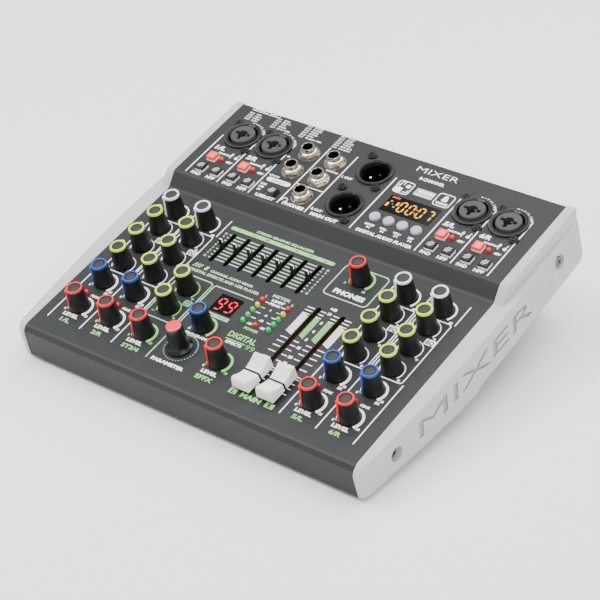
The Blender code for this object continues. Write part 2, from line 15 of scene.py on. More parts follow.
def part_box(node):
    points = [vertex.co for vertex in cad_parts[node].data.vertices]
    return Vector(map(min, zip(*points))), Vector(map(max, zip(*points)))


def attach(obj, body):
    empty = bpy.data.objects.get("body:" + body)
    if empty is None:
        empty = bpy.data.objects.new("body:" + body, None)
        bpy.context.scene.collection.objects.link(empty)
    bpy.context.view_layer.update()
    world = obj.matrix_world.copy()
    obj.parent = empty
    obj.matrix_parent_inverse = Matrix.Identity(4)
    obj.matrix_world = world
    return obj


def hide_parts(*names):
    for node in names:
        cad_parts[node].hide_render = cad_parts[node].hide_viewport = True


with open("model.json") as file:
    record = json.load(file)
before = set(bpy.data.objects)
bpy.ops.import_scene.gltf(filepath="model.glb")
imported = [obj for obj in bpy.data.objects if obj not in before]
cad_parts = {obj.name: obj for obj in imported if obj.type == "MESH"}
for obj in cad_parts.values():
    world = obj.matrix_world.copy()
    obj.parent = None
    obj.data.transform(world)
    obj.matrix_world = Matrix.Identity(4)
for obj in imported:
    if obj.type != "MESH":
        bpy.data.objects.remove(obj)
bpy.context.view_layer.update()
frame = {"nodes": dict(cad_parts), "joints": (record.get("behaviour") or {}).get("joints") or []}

MM = 0.001
UPPER = 8.5
TILT = math.radians(12.0)
DECK_Y, DECK_Z = -111.73, 25.5
DECK = Matrix.Translation((0.0, DECK_Y * MM, DECK_Z * MM)) @ Matrix.Rotation(TILT, 4, "X")
TO_DECK = DECK.inverted()
LEVEL = Matrix.Identity(4)


# ---- materials ----
def linear(value):
    """Linear light from a 0-255 screen value."""
    c = value / 255.0
    return c / 12.92 if c <= 0.04045 else ((c + 0.055) / 1.055) ** 2.4


def finish(name, screen, rough, metal=0.0, grain=0.0, size=0.25, vary=0.08, coat=0.0, glow=0.0, shine=0.5):
    """A procedural finish: cloudy colour, uneven roughness and a fine raised grain."""
    colour = [linear(value) for value in screen]
    mat = bpy.data.materials.new(name)
    mat.use_nodes = True
    nodes, links = mat.node_tree.nodes, mat.node_tree.links
    shader = nodes["Principled BSDF"]
    where = nodes.new("ShaderNodeTexCoord")
    cloud = nodes.new("ShaderNodeTexNoise")
    cloud.inputs["Scale"].default_value = 90.0
    cloud.inputs["Detail"].default_value = 4.0
    links.new(where.outputs["Object"], cloud.inputs["Vector"])
    ramp = nodes.new("ShaderNodeValToRGB")
    ramp.color_ramp.elements[0].position = 0.3
    ramp.color_ramp.elements[1].position = 0.7
    for element, factor in zip(ramp.color_ramp.elements, (1.0 - vary, 1.0 + vary)):
        element.color = (*[min(c * factor, 1.0) for c in colour], 1.0)
    links.new(cloud.outputs["Fac"], ramp.inputs["Fac"])
    links.new(ramp.outputs["Color"], shader.inputs["Base Color"])
    fine = nodes.new("ShaderNodeTexNoise")
    fine.inputs["Scale"].default_value = 1.0 / (size * MM)
    fine.inputs["Detail"].default_value = 2.0
    links.new(where.outputs["Object"], fine.inputs["Vector"])
    spread = nodes.new("ShaderNodeMapRange")
    spread.inputs["To Min"].default_value = max(rough - 0.06, 0.02)
    spread.inputs["To Max"].default_value = min(rough + 0.06, 1.0)
    links.new(fine.outputs["Fac"], spread.inputs["Value"])
    links.new(spread.outputs["Result"], shader.inputs["Roughness"])
    shader.inputs["Metallic"].default_value = metal
    shader.inputs["Specular IOR Level"].default_value = shine
    shader.inputs["Coat Weight"].default_value = coat
    shader.inputs["Coat Roughness"].default_value = 0.1
    if grain:
        bump = nodes.new("ShaderNodeBump")
        bump.inputs["Strength"].default_value = grain
        bump.inputs["Distance"].default_value = 0.05 * MM
        links.new(fine.outputs["Fac"], bump.inputs["Height"])
        links.new(bump.outputs["Normal"], shader.inputs["Normal"])
    # Emission: real light on the LEDs and lit digits; on the inks, knob rings, caps, fader track and port shell it is
    # painted glow.
    if glow:
        links.new(ramp.outputs["Color"], shader.inputs["Emission Color"])
        shader.inputs["Emission Strength"].default_value = glow
    return mat


PAINT = finish("charcoal_powder_coat", (39, 40, 42), 0.5, grain=0.4, size=0.35, vary=0.05, shine=0.3)
UNDER = finish("pan_powder_coat", (34, 34, 36), 0.6, grain=0.5, size=0.4, shine=0.25)
CHEEK = finish("light_grey_moulding", (184, 185, 189), 0.5, grain=0.3, size=0.3, vary=0.02)
CHEEK_MARK = finish("cheek_engraving", (150, 151, 155), 0.55, grain=0.3, size=0.3, vary=0.02)
# The three inks carry a painted glow that brightens the print beyond its own colour.
INK = finish("white_ink", (254, 254, 254), 0.6, vary=0.02, glow=0.25)
LEAF = finish("green_ink", (132, 214, 112), 0.6, vary=0.04, glow=0.12)
SAGE = finish("pale_green_ink", (176, 216, 170), 0.6, vary=0.05, glow=0.06)
SHADOW_INK = finish("dark_ink", (36, 44, 36), 0.6, vary=0.05, shine=0.2)
BODY = finish("knob_black", (16, 17, 19), 0.42, grain=0.2, size=0.3, vary=0.12, shine=0.3)
DISC = finish("knob_disc", (44, 46, 49), 0.5, grain=0.3, size=0.3, shine=0.3)
# The knob rings carry a painted glow; they are no lamps.
RED_RING = finish("red_ring", (222, 24, 22), 0.35, vary=0.05, glow=0.05)
BLUE_RING = finish("blue_ring", (20, 74, 160), 0.35, vary=0.05, glow=0.03)
LIME_RING = finish("lime_ring", (214, 240, 50), 0.35, vary=0.04, glow=0.08)
WHITE_RING = finish("white_ring", (240, 242, 243), 0.35, vary=0.03, glow=0.06)
GLOSS = finish("encoder_gloss", (16, 16, 18), 0.3, size=4.0, vary=0.1, shine=0.4)
# The encoder cap carries a painted glow; it is no lamp.
CORAL = finish("encoder_cap", (246, 44, 40), 0.3, size=3.0, coat=0.2, vary=0.03, glow=0.06)
IVORY = finish("fader_cap", (244, 243, 239), 0.45, grain=0.2, size=0.3, vary=0.02)
BLACK = finish("black_moulding", (16, 16, 18), 0.4, grain=0.2, vary=0.12, shine=0.3)
INSERT = finish("socket_insert", (62, 63, 65), 0.45, grain=0.3, vary=0.06, shine=0.3)
FLANGE = finish("socket_flange", (24, 24, 26), 0.35, size=2.0, grain=0.1, vary=0.08, shine=0.4)
# Near-black fill for the insides of holes, bores, cups and screw recesses: painted shade where light doesn't reach.
HOLE_SHADE = finish("painted_hole_shade", (8, 8, 9), 0.8, shine=0.1)
NICKEL = finish("nickel", (196, 188, 172), 0.14, metal=1.0, size=3.0, vary=0.05)
PIN = finish("contact_pin", (232, 224, 200), 0.25, metal=1.0)
SCREW = finish("blackened_screw", (44, 44, 46), 0.35, metal=0.7)
STEEL_SCREW = finish("zinc_screw", (120, 116, 112), 0.35, metal=0.9)
# The red cap carries a painted glow; it is no lamp.
PHANTOM = finish("red_cap", (240, 64, 54), 0.25, size=2.0, coat=0.4, glow=0.3, vary=0.05)
# Pale stripes on the red cap's top: painted reflection, with painted glow.
PHANTOM_REFLECTION_STRIPES = finish("red_cap_painted_reflection", (252, 150, 142), 0.3, size=2.0, coat=0.4, glow=0.35, vary=0.04)
# Pink rim of the red cap: the pale base's own colour, lit up further by a painted highlight and painted glow.
RIM_ROSE = finish("red_cap_rim", (252, 176, 172), 0.35, glow=0.25, vary=0.03)
SMOKE = finish("smoked_cap", (30, 30, 33), 0.3, size=2.0, vary=0.08, shine=0.3)
# Pale diagonal stripes on the caps' tops: painted reflection of the surroundings.
CAP_REFLECTION_STRIPES = finish("cap_painted_reflection", (222, 224, 224), 0.45, vary=0.05, glow=0.05)
# Pale rim at the foot of the plain caps: the base's own light colour, also standing for a painted highlight where
# light catches it.
RIM = finish("cap_rim", (226, 227, 229), 0.4, vary=0.03)
KEY = finish("grey_key", (170, 174, 180), 0.45, grain=0.3, vary=0.03)
GLASS = finish("smoked_window", (4, 3, 4), 0.1, size=3.0, vary=0.1, shine=0.2)
DIGIT_RED = finish("lit_red", (220, 22, 50), 0.5, glow=0.8, shine=0.1)
DIGIT_AMBER = finish("lit_amber", (238, 170, 40), 0.5, glow=0.6, shine=0.1)
LED_RED = finish("led_red", (214, 14, 14), 0.15, size=2.0, coat=0.4, glow=0.25)
LED_AMBER = finish("led_yellow", (232, 204, 36), 0.15, size=2.0, coat=0.4, glow=0.25)
LED_GREEN = finish("led_green", (52, 186, 92), 0.15, size=2.0, coat=0.4, glow=0.25)
# The fader track carries a painted glow; it is no lamp.
TRACK = finish("fader_track", (84, 42, 18), 0.5, grain=0.3, vary=0.3, glow=0.1)
# Near-black fill under the slots: painted shade seen through them.
SLOT_SHADE = finish("painted_slot_shade", (14, 14, 14), 0.7, shine=0.1)
# The port shell carries a painted glow on its metal; it is no lamp.
SHELL = finish("port_shell", (240, 240, 242), 0.3, metal=0.5, glow=0.1)
BOARD = finish("circuit_board", (24, 66, 44), 0.4, vary=0.1)
RUBBER = finish("foot_rubber", (28, 28, 29), 0.8, grain=0.6, size=0.4)


# ---- mesh building ----
class Shape:
    """A mesh in millimetres under construction; new faces take the current material slot."""

    def __init__(self, *mats):
        self.bm = bmesh.new()
        self.settled = self.bm.faces.layers.int.new("settled")
        self.mats = list(mats)
        self.slot = 0

    def use(self, mat):
        if mat not in self.mats:
            self.mats.append(mat)
        self.slot = self.mats.index(mat)
        return self

    def mark(self):
        for face in self.bm.faces:
            if not face[self.settled]:
                face.material_index = self.slot
                face[self.settled] = 1

    def begin(self):
        self.known = set(self.bm.verts)

    def move(self, matrix):
        """Move all that was made since begin()."""
        fresh = [vert for vert in self.bm.verts if vert not in self.known]
        bmesh.ops.transform(self.bm, matrix=matrix, verts=fresh)

    def box(self, low, high, edge=0.0, segments=2):
        low, high = Vector(low), Vector(high)
        matrix = Matrix.Translation((low + high) / 2) @ Matrix.Diagonal((*(high - low), 1.0))
        made = bmesh.ops.create_cube(self.bm, size=1.0, matrix=matrix)
        if edge:
            edges = list({e for vert in made["verts"] for e in vert.link_edges})
            bmesh.ops.bevel(self.bm, geom=edges, offset=edge, segments=segments, profile=0.5, affect="EDGES")
        self.mark()

    def slab(self, x, v, half_x, half_v, low, high, edge=0.0, segments=2):
        """A box centred on (x, v)."""
        self.box((x - half_x, v - half_v, low), (x + half_x, v + half_v, high), edge, segments)

    def turned(self, profile, sides=32, centre=(0.0, 0.0), start=0.0, wave=0.0):
        """Turn an open or closed (radius, height) profile; wave ripples every second column inwards."""
        rings = []
        for radius, height in profile:
            if radius == 0.0:
                rings.append([self.bm.verts.new((centre[0], centre[1], height))])
                continue
            ring = []
            for side in range(sides):
                angle = start + math.tau * side / sides
                reach = radius - (wave if side % 2 else 0.0)
                ring.append(self.bm.verts.new((centre[0] + reach * math.cos(angle),
                                               centre[1] + reach * math.sin(angle), height)))
            rings.append(ring)
        for lower, upper in zip(rings, rings[1:]):
            if len(lower) == 1 and len(upper) == 1:
                continue
            for side in range(sides):
                after = (side + 1) % sides
                quad = [lower[side % len(lower)], lower[after % len(lower)],
                        upper[after % len(upper)], upper[side % len(upper)]]
                self.bm.faces.new(list(dict.fromkeys(quad)))
        self.mark()

    def loft(self, rings, marks=None, caps=True):
        """Skin same-length rings; marks gives a material for each span between rings."""
        made = [[self.bm.verts.new(p) for p in ring] for ring in rings]
        if caps:
            self.bm.faces.new(list(reversed(made[0])))
            self.bm.faces.new(made[-1])
            self.mark()
        for index, (a, b) in enumerate(zip(made, made[1:])):
            if marks:
                self.use(marks[index])
            size = len(a)
            for i in range(size):
                j = (i + 1) % size
                self.bm.faces.new((a[i], a[j], b[j], b[i]))
            self.mark()

    def prism(self, outline, low, high):
        """Raise a flat (x, v) outline between two heights."""
        base = [self.bm.verts.new((x, v, low)) for x, v in outline]
        top = [self.bm.verts.new((x, v, high)) for x, v in outline]
        self.bm.faces.new(list(reversed(base)))
        self.bm.faces.new(top)
        for i in range(len(outline)):
            j = (i + 1) % len(outline)
            self.bm.faces.new((base[i], base[j], top[j], top[i]))
        self.mark()

    def mesh(self, name, sharp=32.0):
        self.bm.faces.layers.int.remove(self.settled)
        bmesh.ops.recalc_face_normals(self.bm, faces=self.bm.faces)
        if self.bm.calc_volume(signed=True) < 0.0:
            bmesh.ops.reverse_faces(self.bm, faces=self.bm.faces)
        bmesh.ops.scale(self.bm, vec=(MM, MM, MM), verts=self.bm.verts)
        mesh = bpy.data.meshes.new(name)
        self.bm.to_mesh(mesh)
        self.bm.free()
        for mat in self.mats:
            mesh.materials.append(mat)
        mesh.shade_smooth()
        mesh.set_sharp_from_angle(angle=math.radians(sharp))
        return mesh

    def put(self, name, slot, sharp=32.0, **where):
        """Finish the mesh and place it; where holds what place() takes."""
        place(self.mesh(name, sharp), name, slot=slot, **where)


def place(mesh, name, slot, body="chassis", at=(0.0, 0.0, 0.0), turn=0.0, base=DECK, replaces=()):
    obj = bpy.data.objects.new(name, mesh)
    bpy.context.collection.objects.link(obj)
    obj.matrix_world = base @ Matrix.Translation(Vector(at) * MM) @ Matrix.Rotation(turn, 4, "Z")
    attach(obj, body)
    if replaces:
        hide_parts(*replaces)


def dress(node, mesh, slot, at, turn=0.0):
    """Put a look on a moving CAD node, in its place."""
    place(mesh, node + "_look", slot, node, at, turn, replaces=(node,))


def cut(target, tool):
    """Subtract one object from another and keep the result as a plain mesh."""
    mod = target.modifiers.new("cut", "BOOLEAN")
    mod.operation = "DIFFERENCE"
    mod.solver = "EXACT"
    mod.object = tool
    bpy.context.view_layer.update()
    result = bpy.data.meshes.new_from_object(target.evaluated_get(bpy.context.evaluated_depsgraph_get()))
    target.modifiers.clear()
    target.data = result
    bpy.data.objects.remove(tool, do_unlink=True)
    result.shade_smooth()
    result.set_sharp_from_angle(angle=math.radians(32.0))


def loose(mesh, name):
    """An object on the deck that no body carries yet."""
    obj = bpy.data.objects.new(name, mesh)
    bpy.context.collection.objects.link(obj)
    obj.matrix_world = DECK
    return obj


def deck_box(node):
    """Lowest and highest corner of a CAD node in deck millimetres."""
    points = [TO_DECK @ vert.co / MM for vert in frame["nodes"][node].data.vertices]
    low = Vector([min(p[i] for p in points) for i in range(3)])
    high = Vector([max(p[i] for p in points) for i in range(3)])
    return low, high


def centre_of(node):
    low, high = deck_box(node)
    return ((low.x + high.x) / 2, (low.y + high.y) / 2)


# ---- places, from the frame's joints and nodes where they have one ----
knobs = {}
for joint in frame["joints"]:
    if joint["child"].endswith("_knob"):
        spot = TO_DECK @ Vector(joint["pos_m"]) / MM
        knobs[joint["child"]] = (spot.x, spot.y)
CHANNELS = {name: knobs[f"{name}_level_knob"][0] for name in ("ch1", "ch2", "ch5", "ch6")}
CHANNEL_NAMES = {"ch1": "1/L", "ch2": "2/R", "ch5": "5/L", "ch6": "6/R"}
STEREO_X = knobs["ch3_4_level_knob"][0]
faders = {side: centre_of(f"main_fader_{side}")[0] for side in ("left", "right")}
sliders = [centre_of(f"graphic_eq_slider_{i}") for i in range(1, 8)]
buttons = {node: centre_of(node) for node in frame["nodes"] if node.endswith("_button")}
EQ_SLOT = (98.7, 126.2)
EQ_SLOT_HALF = 1.4
MAIN_SLOT = (24.0, 95.4)
MAIN_SLOT_HALF = 1.6
EFFECT_WINDOW = (-28.4, -11.4, 64.0, 79.0)
PLAYER_WINDOW = (21.3, 58.2, 176.8, 192.2)
COMBO_V = 199.3
XLR_X, XLR_ROWS = -1.0, (205.0, 171.5)
JACKS = [(STEREO_X, 202.2), (STEREO_X, 184.0), (-30.4, 202.2), (-30.4, 184.0), (-30.4, 165.9)]
USB_PORT = (39.5, 200.9)
KEYS = [(23.3 + 10.25 * i, 170.0) for i in range(4)]
LEDS = [(x, v, mat) for x in (-2.1, 17.4) for v, mat in
        ((84.9, LED_RED), (80.0, LED_AMBER), (75.2, LED_GREEN), (70.4, LED_GREEN), (65.4, LED_GREEN))]
LEDS += [(7.5, 65.2, LED_RED)]
LEDS += [(x - 4.0, 41.2, LED_RED) for x in CHANNELS.values()]
UPPER_LEDS = [(x + 2.3, 173.2) for x in CHANNELS.values()]
SCALE_START, SCALE_END = 222, -42


# ---- outlines ----
def arc_points(x, v, radius, start, end, steps):
    """Points along an arc between two directions in degrees."""
    angles = [math.radians(start + (end - start) * step / steps) for step in range(steps + 1)]
    return [(x + radius * math.cos(a), v + radius * math.sin(a)) for a in angles]


def bend(points, radii, steps):
    """Round each inner corner of a path with its own radius."""
    line = [Vector(points[0])]
    for before, corner, after, radius in zip(points, points[1:], points[2:], radii):
        corner = Vector(corner)
        back = (Vector(before) - corner).normalized()
        ahead = (Vector(after) - corner).normalized()
        half = back.angle(ahead) / 2
        centre = corner + (back + ahead).normalized() * (radius / math.sin(half))
        start = corner + back * (radius / math.tan(half)) - centre
        end = corner + ahead * (radius / math.tan(half)) - centre
        for step in range(steps + 1):
            line.append(centre + start.lerp(end, step / steps).normalized() * radius)
    line.append(Vector(points[-1]))
    return line


def mitre(points, i, closed=False):
    """Left-hand direction at a point of a path, and its lean from the first edge there."""
    normals = []
    for a, b in ((i - 1, i), (i, i + 1)):
        if closed:
            a, b = a % len(points), b % len(points)
        if 0 <= a and b < len(points) and points[a] != points[b]:
            run = (points[b] - points[a]).normalized()
            normals.append(Vector((-run.y, run.x)))
    middle = sum(normals, Vector((0.0, 0.0))).normalized()
    return middle, middle.dot(normals[0])


def inwards(line, distance):
    """The path moved to its right-hand side."""
    moved = []
    for i, point in enumerate(line):
        left, lean = mitre(line, i)
        moved.append(point - left * (distance / lean))
    return moved


# ---- deck sheet ----
def make_deck():
    half, thick, lip = 124.85, 1.2, 14.0
    corners = [(-1.4, -22.7), (-0.45, -3.3), (1.5, -0.45), (3.2, 0.0), (144.1, 0.0), (152.7, UPPER), (229.0, UPPER),
               (229.0 - lip * math.sin(TILT), UPPER - lip * math.cos(TILT))]
    outer = bend(corners, (1.2, 0.8, 1.5, 4.0, 4.0, 2.0), 5)
    outline = outer + inwards(outer, thick)[::-1]
    sheet = Shape(PAINT)
    sheet.loft([[(x, *point) for point in outline] for x in (-half, -half + 0.25, half - 0.25, half)])
    panel = loose(sheet.mesh("deck_sheet", 40.0), "deck_sheet")

    tool = Shape(PAINT)
    below, above = -4.0, 3.0
    holes = [(x, v, 3.7, 28, 0.0) for x, v in knobs.values()]
    holes += [(x, v, 1.65, 20, 0.0) for x, v, _ in LEDS]
    holes += [(x, v, 1.65, 20, UPPER) for x, v in UPPER_LEDS]
    holes += [(x, v, 4.2, 32, UPPER) for x, v in KEYS]
    holes += [(x, v, 4.9, 28, UPPER) for x, v in JACKS]
    holes += [(x, COMBO_V, 11.6, 48, UPPER) for x in CHANNELS.values()]
    holes += [(XLR_X, v, 12.0, 48, UPPER) for v in XLR_ROWS]
    for x, v, radius, sides, level in holes:
        low, high = level + below, level + above
        tool.turned([(0.0, low), (radius, low), (radius, high), (0.0, high)], sides, (x, v))
    slots = [(x, *EQ_SLOT, EQ_SLOT_HALF) for x, _ in sliders]
    slots += [(x, *MAIN_SLOT, MAIN_SLOT_HALF) for x in faders.values()]
    for x, v_low, v_high, reach in slots:
        ends = arc_points(x, v_high - reach, reach, 0, 180, 8) + arc_points(x, v_low + reach, reach, 180, 360, 8)
        tool.prism(ends, below, above)
    for x, v in buttons.values():
        tool.slab(x, v, 3.7, 3.7, UPPER + below, UPPER + above)
    tool.slab(*USB_PORT, 6.9, 3.3, UPPER + below, UPPER + above)
    for (x_low, x_high, v_low, v_high), level in ((EFFECT_WINDOW, 0.0), (PLAYER_WINDOW, UPPER)):
        tool.box((x_low, v_low, level + below), (x_high, v_high, level + above))
    cut(panel, loose(tool.mesh("deck_tool"), "deck_tool"))
    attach(panel, "chassis")
    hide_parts("top_panel")


# ---- printing: thin raised ink ----
INK_HIGH = 0.035
CAPITAL = 0.72
letters = {}


def letter_mesh(text, weight):
    """Points, faces and width of a word in the built-in typeface, its left edge at zero."""
    key = (text, weight)
    if key not in letters:
        curve = bpy.data.curves.new("word", "FONT")
        curve.body = text
        curve.resolution_u = 2
        curve.offset = weight
        obj = bpy.data.objects.new("word", curve)
        bpy.context.collection.objects.link(obj)
        bpy.context.view_layer.update()
        flat = bpy.data.meshes.new_from_object(obj.evaluated_get(bpy.context.evaluated_depsgraph_get()))
        low = min(vert.co.x for vert in flat.vertices)
        points = [(vert.co.x - low, vert.co.y) for vert in flat.vertices]
        faces = [tuple(poly.vertices) for poly in flat.polygons]
        bpy.data.objects.remove(obj, do_unlink=True)
        bpy.data.curves.remove(curve)
        bpy.data.meshes.remove(flat)
        letters[key] = (points, faces, max(x for x, _ in points))
    return letters[key]


def thicken(bm, faces, shift):
    """Give flat faces a thickness."""
    grown = bmesh.ops.extrude_face_region(bm, geom=faces, use_keep_orig=True)
    raised = [item for item in grown["geom"] if isinstance(item, bmesh.types.BMVert)]
    bmesh.ops.translate(bm, vec=shift, verts=raised)


class Print:
    """Flat artwork in one ink, on the deck at the height deck."""

    def __init__(self, mat, lift=0.0):
        self.bm = bmesh.new()
        self.mat = mat
        self.lift = lift
        self.deck = 0.0

    def point(self, x, v):
        return self.bm.verts.new((x, v, self.deck + self.lift))

    def fill(self, outline):
        self.bm.faces.new([self.point(x, v) for x, v in outline])

    def line(self, points, width, closed=False):
        """A mitred stroke; width is one number or one for each point."""
        points = [Vector(p) for p in points]
        count = len(points)
        widths = width if isinstance(width, list) else [width] * count
        left, right = [], []
        for i, point in enumerate(points):
            side, lean = mitre(points, i, closed)
            shift = side * (widths[i] / 2 / max(lean, 0.4))
            left.append(self.point(*(point + shift)))
            right.append(self.point(*(point - shift)))
        for i in range(count if closed else count - 1):
            j = (i + 1) % count
            self.bm.faces.new((left[i], right[i], right[j], left[j]))

    def arc(self, x, v, radius, start, end, width, steps=28):
        """An arc in degrees; width may be a (first, last) pair for a taper."""
        first, last = width if isinstance(width, tuple) else (width, width)
        widths = [first + (last - first) * step / steps for step in range(steps + 1)]
        self.line(arc_points(x, v, radius, start, end, steps), widths)

    def frame(self, x_low, x_high, v_low, v_high, width, radius):
        points = []
        for x, v, first in ((x_high - radius, v_high - radius, 0), (x_low + radius, v_high - radius, 90),
                            (x_low + radius, v_low + radius, 180), (x_high - radius, v_low + radius, 270)):
            points += arc_points(x, v, radius, first, first + 90, 5)
        self.line(points, width, closed=True)

    def block(self, x_low, x_high, v_low, v_high):
        self.fill([(x_low, v_low), (x_high, v_low), (x_high, v_high), (x_low, v_high)])

    def pill(self, x_low, x_high, v_low, v_high):
        half = (v_high - v_low) / 2
        self.fill(arc_points(x_high - half, v_low + half, half, -90, 90, 8)
                  + arc_points(x_low + half, v_low + half, half, 90, 270, 8))

    def dot(self, x, v, radius):
        self.fill(arc_points(x, v, radius, 0, 330, 11))

    def word(self, text, x, v, height, wide=None, weight=0.02, turn=0.0, align=0.5, slant=0.0):
        """A word with its capitals height tall, centred on x and standing on v."""
        points, faces, width = letter_mesh(text, weight)
        scale = height / CAPITAL
        stretch = wide / width if wide else scale
        spin = Matrix.Rotation(math.radians(turn), 2)
        made = []
        for px, py in points:
            flat = spin @ Vector(((px - width * align) * stretch + py * scale * slant, py * scale))
            made.append(self.point(x + flat.x, v + flat.y))
        for face in faces:
            self.bm.faces.new([made[i] for i in face])

    def words(self, weight, *rows):
        """Several words of one weight, each (text, x, v, height) and perhaps its width."""
        for row in rows:
            self.word(*row, weight=weight)

    def done(self, name):
        """Give the ink its thickness and put it on the chassis."""
        self.bm.normal_update()
        for face in self.bm.faces:
            if face.normal.z < 0:
                face.normal_flip()
        thicken(self.bm, list(self.bm.faces), (0.0, 0.0, INK_HIGH))
        bmesh.ops.scale(self.bm, vec=(MM, MM, MM), verts=self.bm.verts)
        bmesh.ops.recalc_face_normals(self.bm, faces=self.bm.faces)
        mesh = bpy.data.meshes.new(name)
        self.bm.to_mesh(mesh)
        self.bm.free()
        mesh.materials.append(self.mat)
        place(mesh, name, slot="chassis_steel")


white, leaf, sage = Print(INK), Print(LEAF), Print(SAGE)
dark = Print(SHADOW_INK, INK_HIGH)


def level_scale(ink, x, v):
    """A swelling arc round a level knob with 0 and 10 at its ends."""
    ink.arc(x, v, 7.9, SCALE_START, SCALE_END, (0.2, 2.1))
    ink.word("0", x - 8.0, v - 6.1, 1.7, weight=0.05)
    ink.word("10", x + 9.2, v - 6.1, 1.8, weight=0.05)


def tone_scale(ink, x, v):
    """Two thin arcs round a tone knob, with minus and plus."""
    ink.arc(x, v, 7.7, 80, -35, (0.45, 0.85))
    ink.arc(x, v, 7.7, 100, 215, (0.45, 0.85))
    for centre in (x + 8.3, x - 8.3):
        ink.line([(centre - 1.0, v - 5.5), (centre + 1.0, v - 5.5)], 0.5)
    ink.line([(x + 8.3, v - 6.5), (x + 8.3, v - 4.5)], 0.5)


def print_channels():
    for name, x in CHANNELS.items():
        level_scale(white, x, knobs[f"{name}_level_knob"][1])
        level_scale(white, x, knobs[f"{name}_fx_knob"][1])
        gain_v = knobs[f"{name}_gain_knob"][1]
        white.arc(x, gain_v, 7.9, SCALE_START, SCALE_END, (0.3, 1.5))
        white.word("GAIN", x - 9.6, gain_v + 5.0, 1.5, turn=40, weight=0.04)
        for band, label in (("eq_high", "HIGH"), ("eq_mid", "MID"), ("eq_low", "LOW")):
            v = knobs[f"{name}_{band}_knob"][1]
            tone_scale(white, x, v)
            white.word(label, x - 8.6, v + 4.2, 1.4, weight=0.04)
        white.frame(x - 11.1, x + 11.3, 64.7, 117.4, 0.7, 1.8)
        white.block(x + 4.2, x + 11.1, 97.4, 102.0)
        dark.word("EQ", x + 7.7, 98.2, 3.0, 5.2, 0.04)
        white.words(0.05, ("60", x + 9.4, gain_v - 7.5, 1.7), ("LEVEL", x - 0.5, 20.2, 2.7, 11.6),
                    ("FX", x + 7.6, 45.2, 1.8))
        leaf.word(CHANNEL_NAMES[name], x - 0.9, 15.0, 3.1, 7.8, 0.03)
        white.word("PEAK", x + 3.0, 40.1, 1.8, 6.6, 0.04)
    for x, parts in ((-117.5, ((14.6, 57.5),)), (-91.0, ((14.6, 135.0),)), (-65.0, ((14.6, 57.5), (118.6, 135.0))),
                     (63.2, ((14.6, 64.0), (118.6, 135.0))), (89.0, ((14.6, 135.0),)),
                     (115.0, ((14.6, 64.4), (117.6, 135.0)))):
        for v_low, v_high in parts:
            white.line([(x, v_low), (x, v_high)], 0.75)

    # stereo channel 3/4
    for band in ("eq_high", "eq_low"):
        tone_scale(leaf, STEREO_X, knobs[f"ch3_4_{band}_knob"][1])
    sage.frame(-63.3, -39.0, 43.6, 83.4, 0.7, 2.6)
    sage.frame(-45.6, -40.8, 60.0, 64.2, 0.5, 0.8)
    leaf.word("EQ", -43.2, 61.0, 2.2, 3.6, 0.04)
    level_scale(leaf, STEREO_X, knobs["ch3_4_level_knob"][1])
    white.word("LEVEL", -51.8, 20.2, 2.7, 11.6, 0.05)
    leaf.word("ST3/4", -51.2, 15.0, 3.1, 13.0, 0.03)
    sage.line([(-37.3, 14.6), (-37.3, 81.6), (-36.3, 82.6), (-7.6, 82.6)], 0.75)


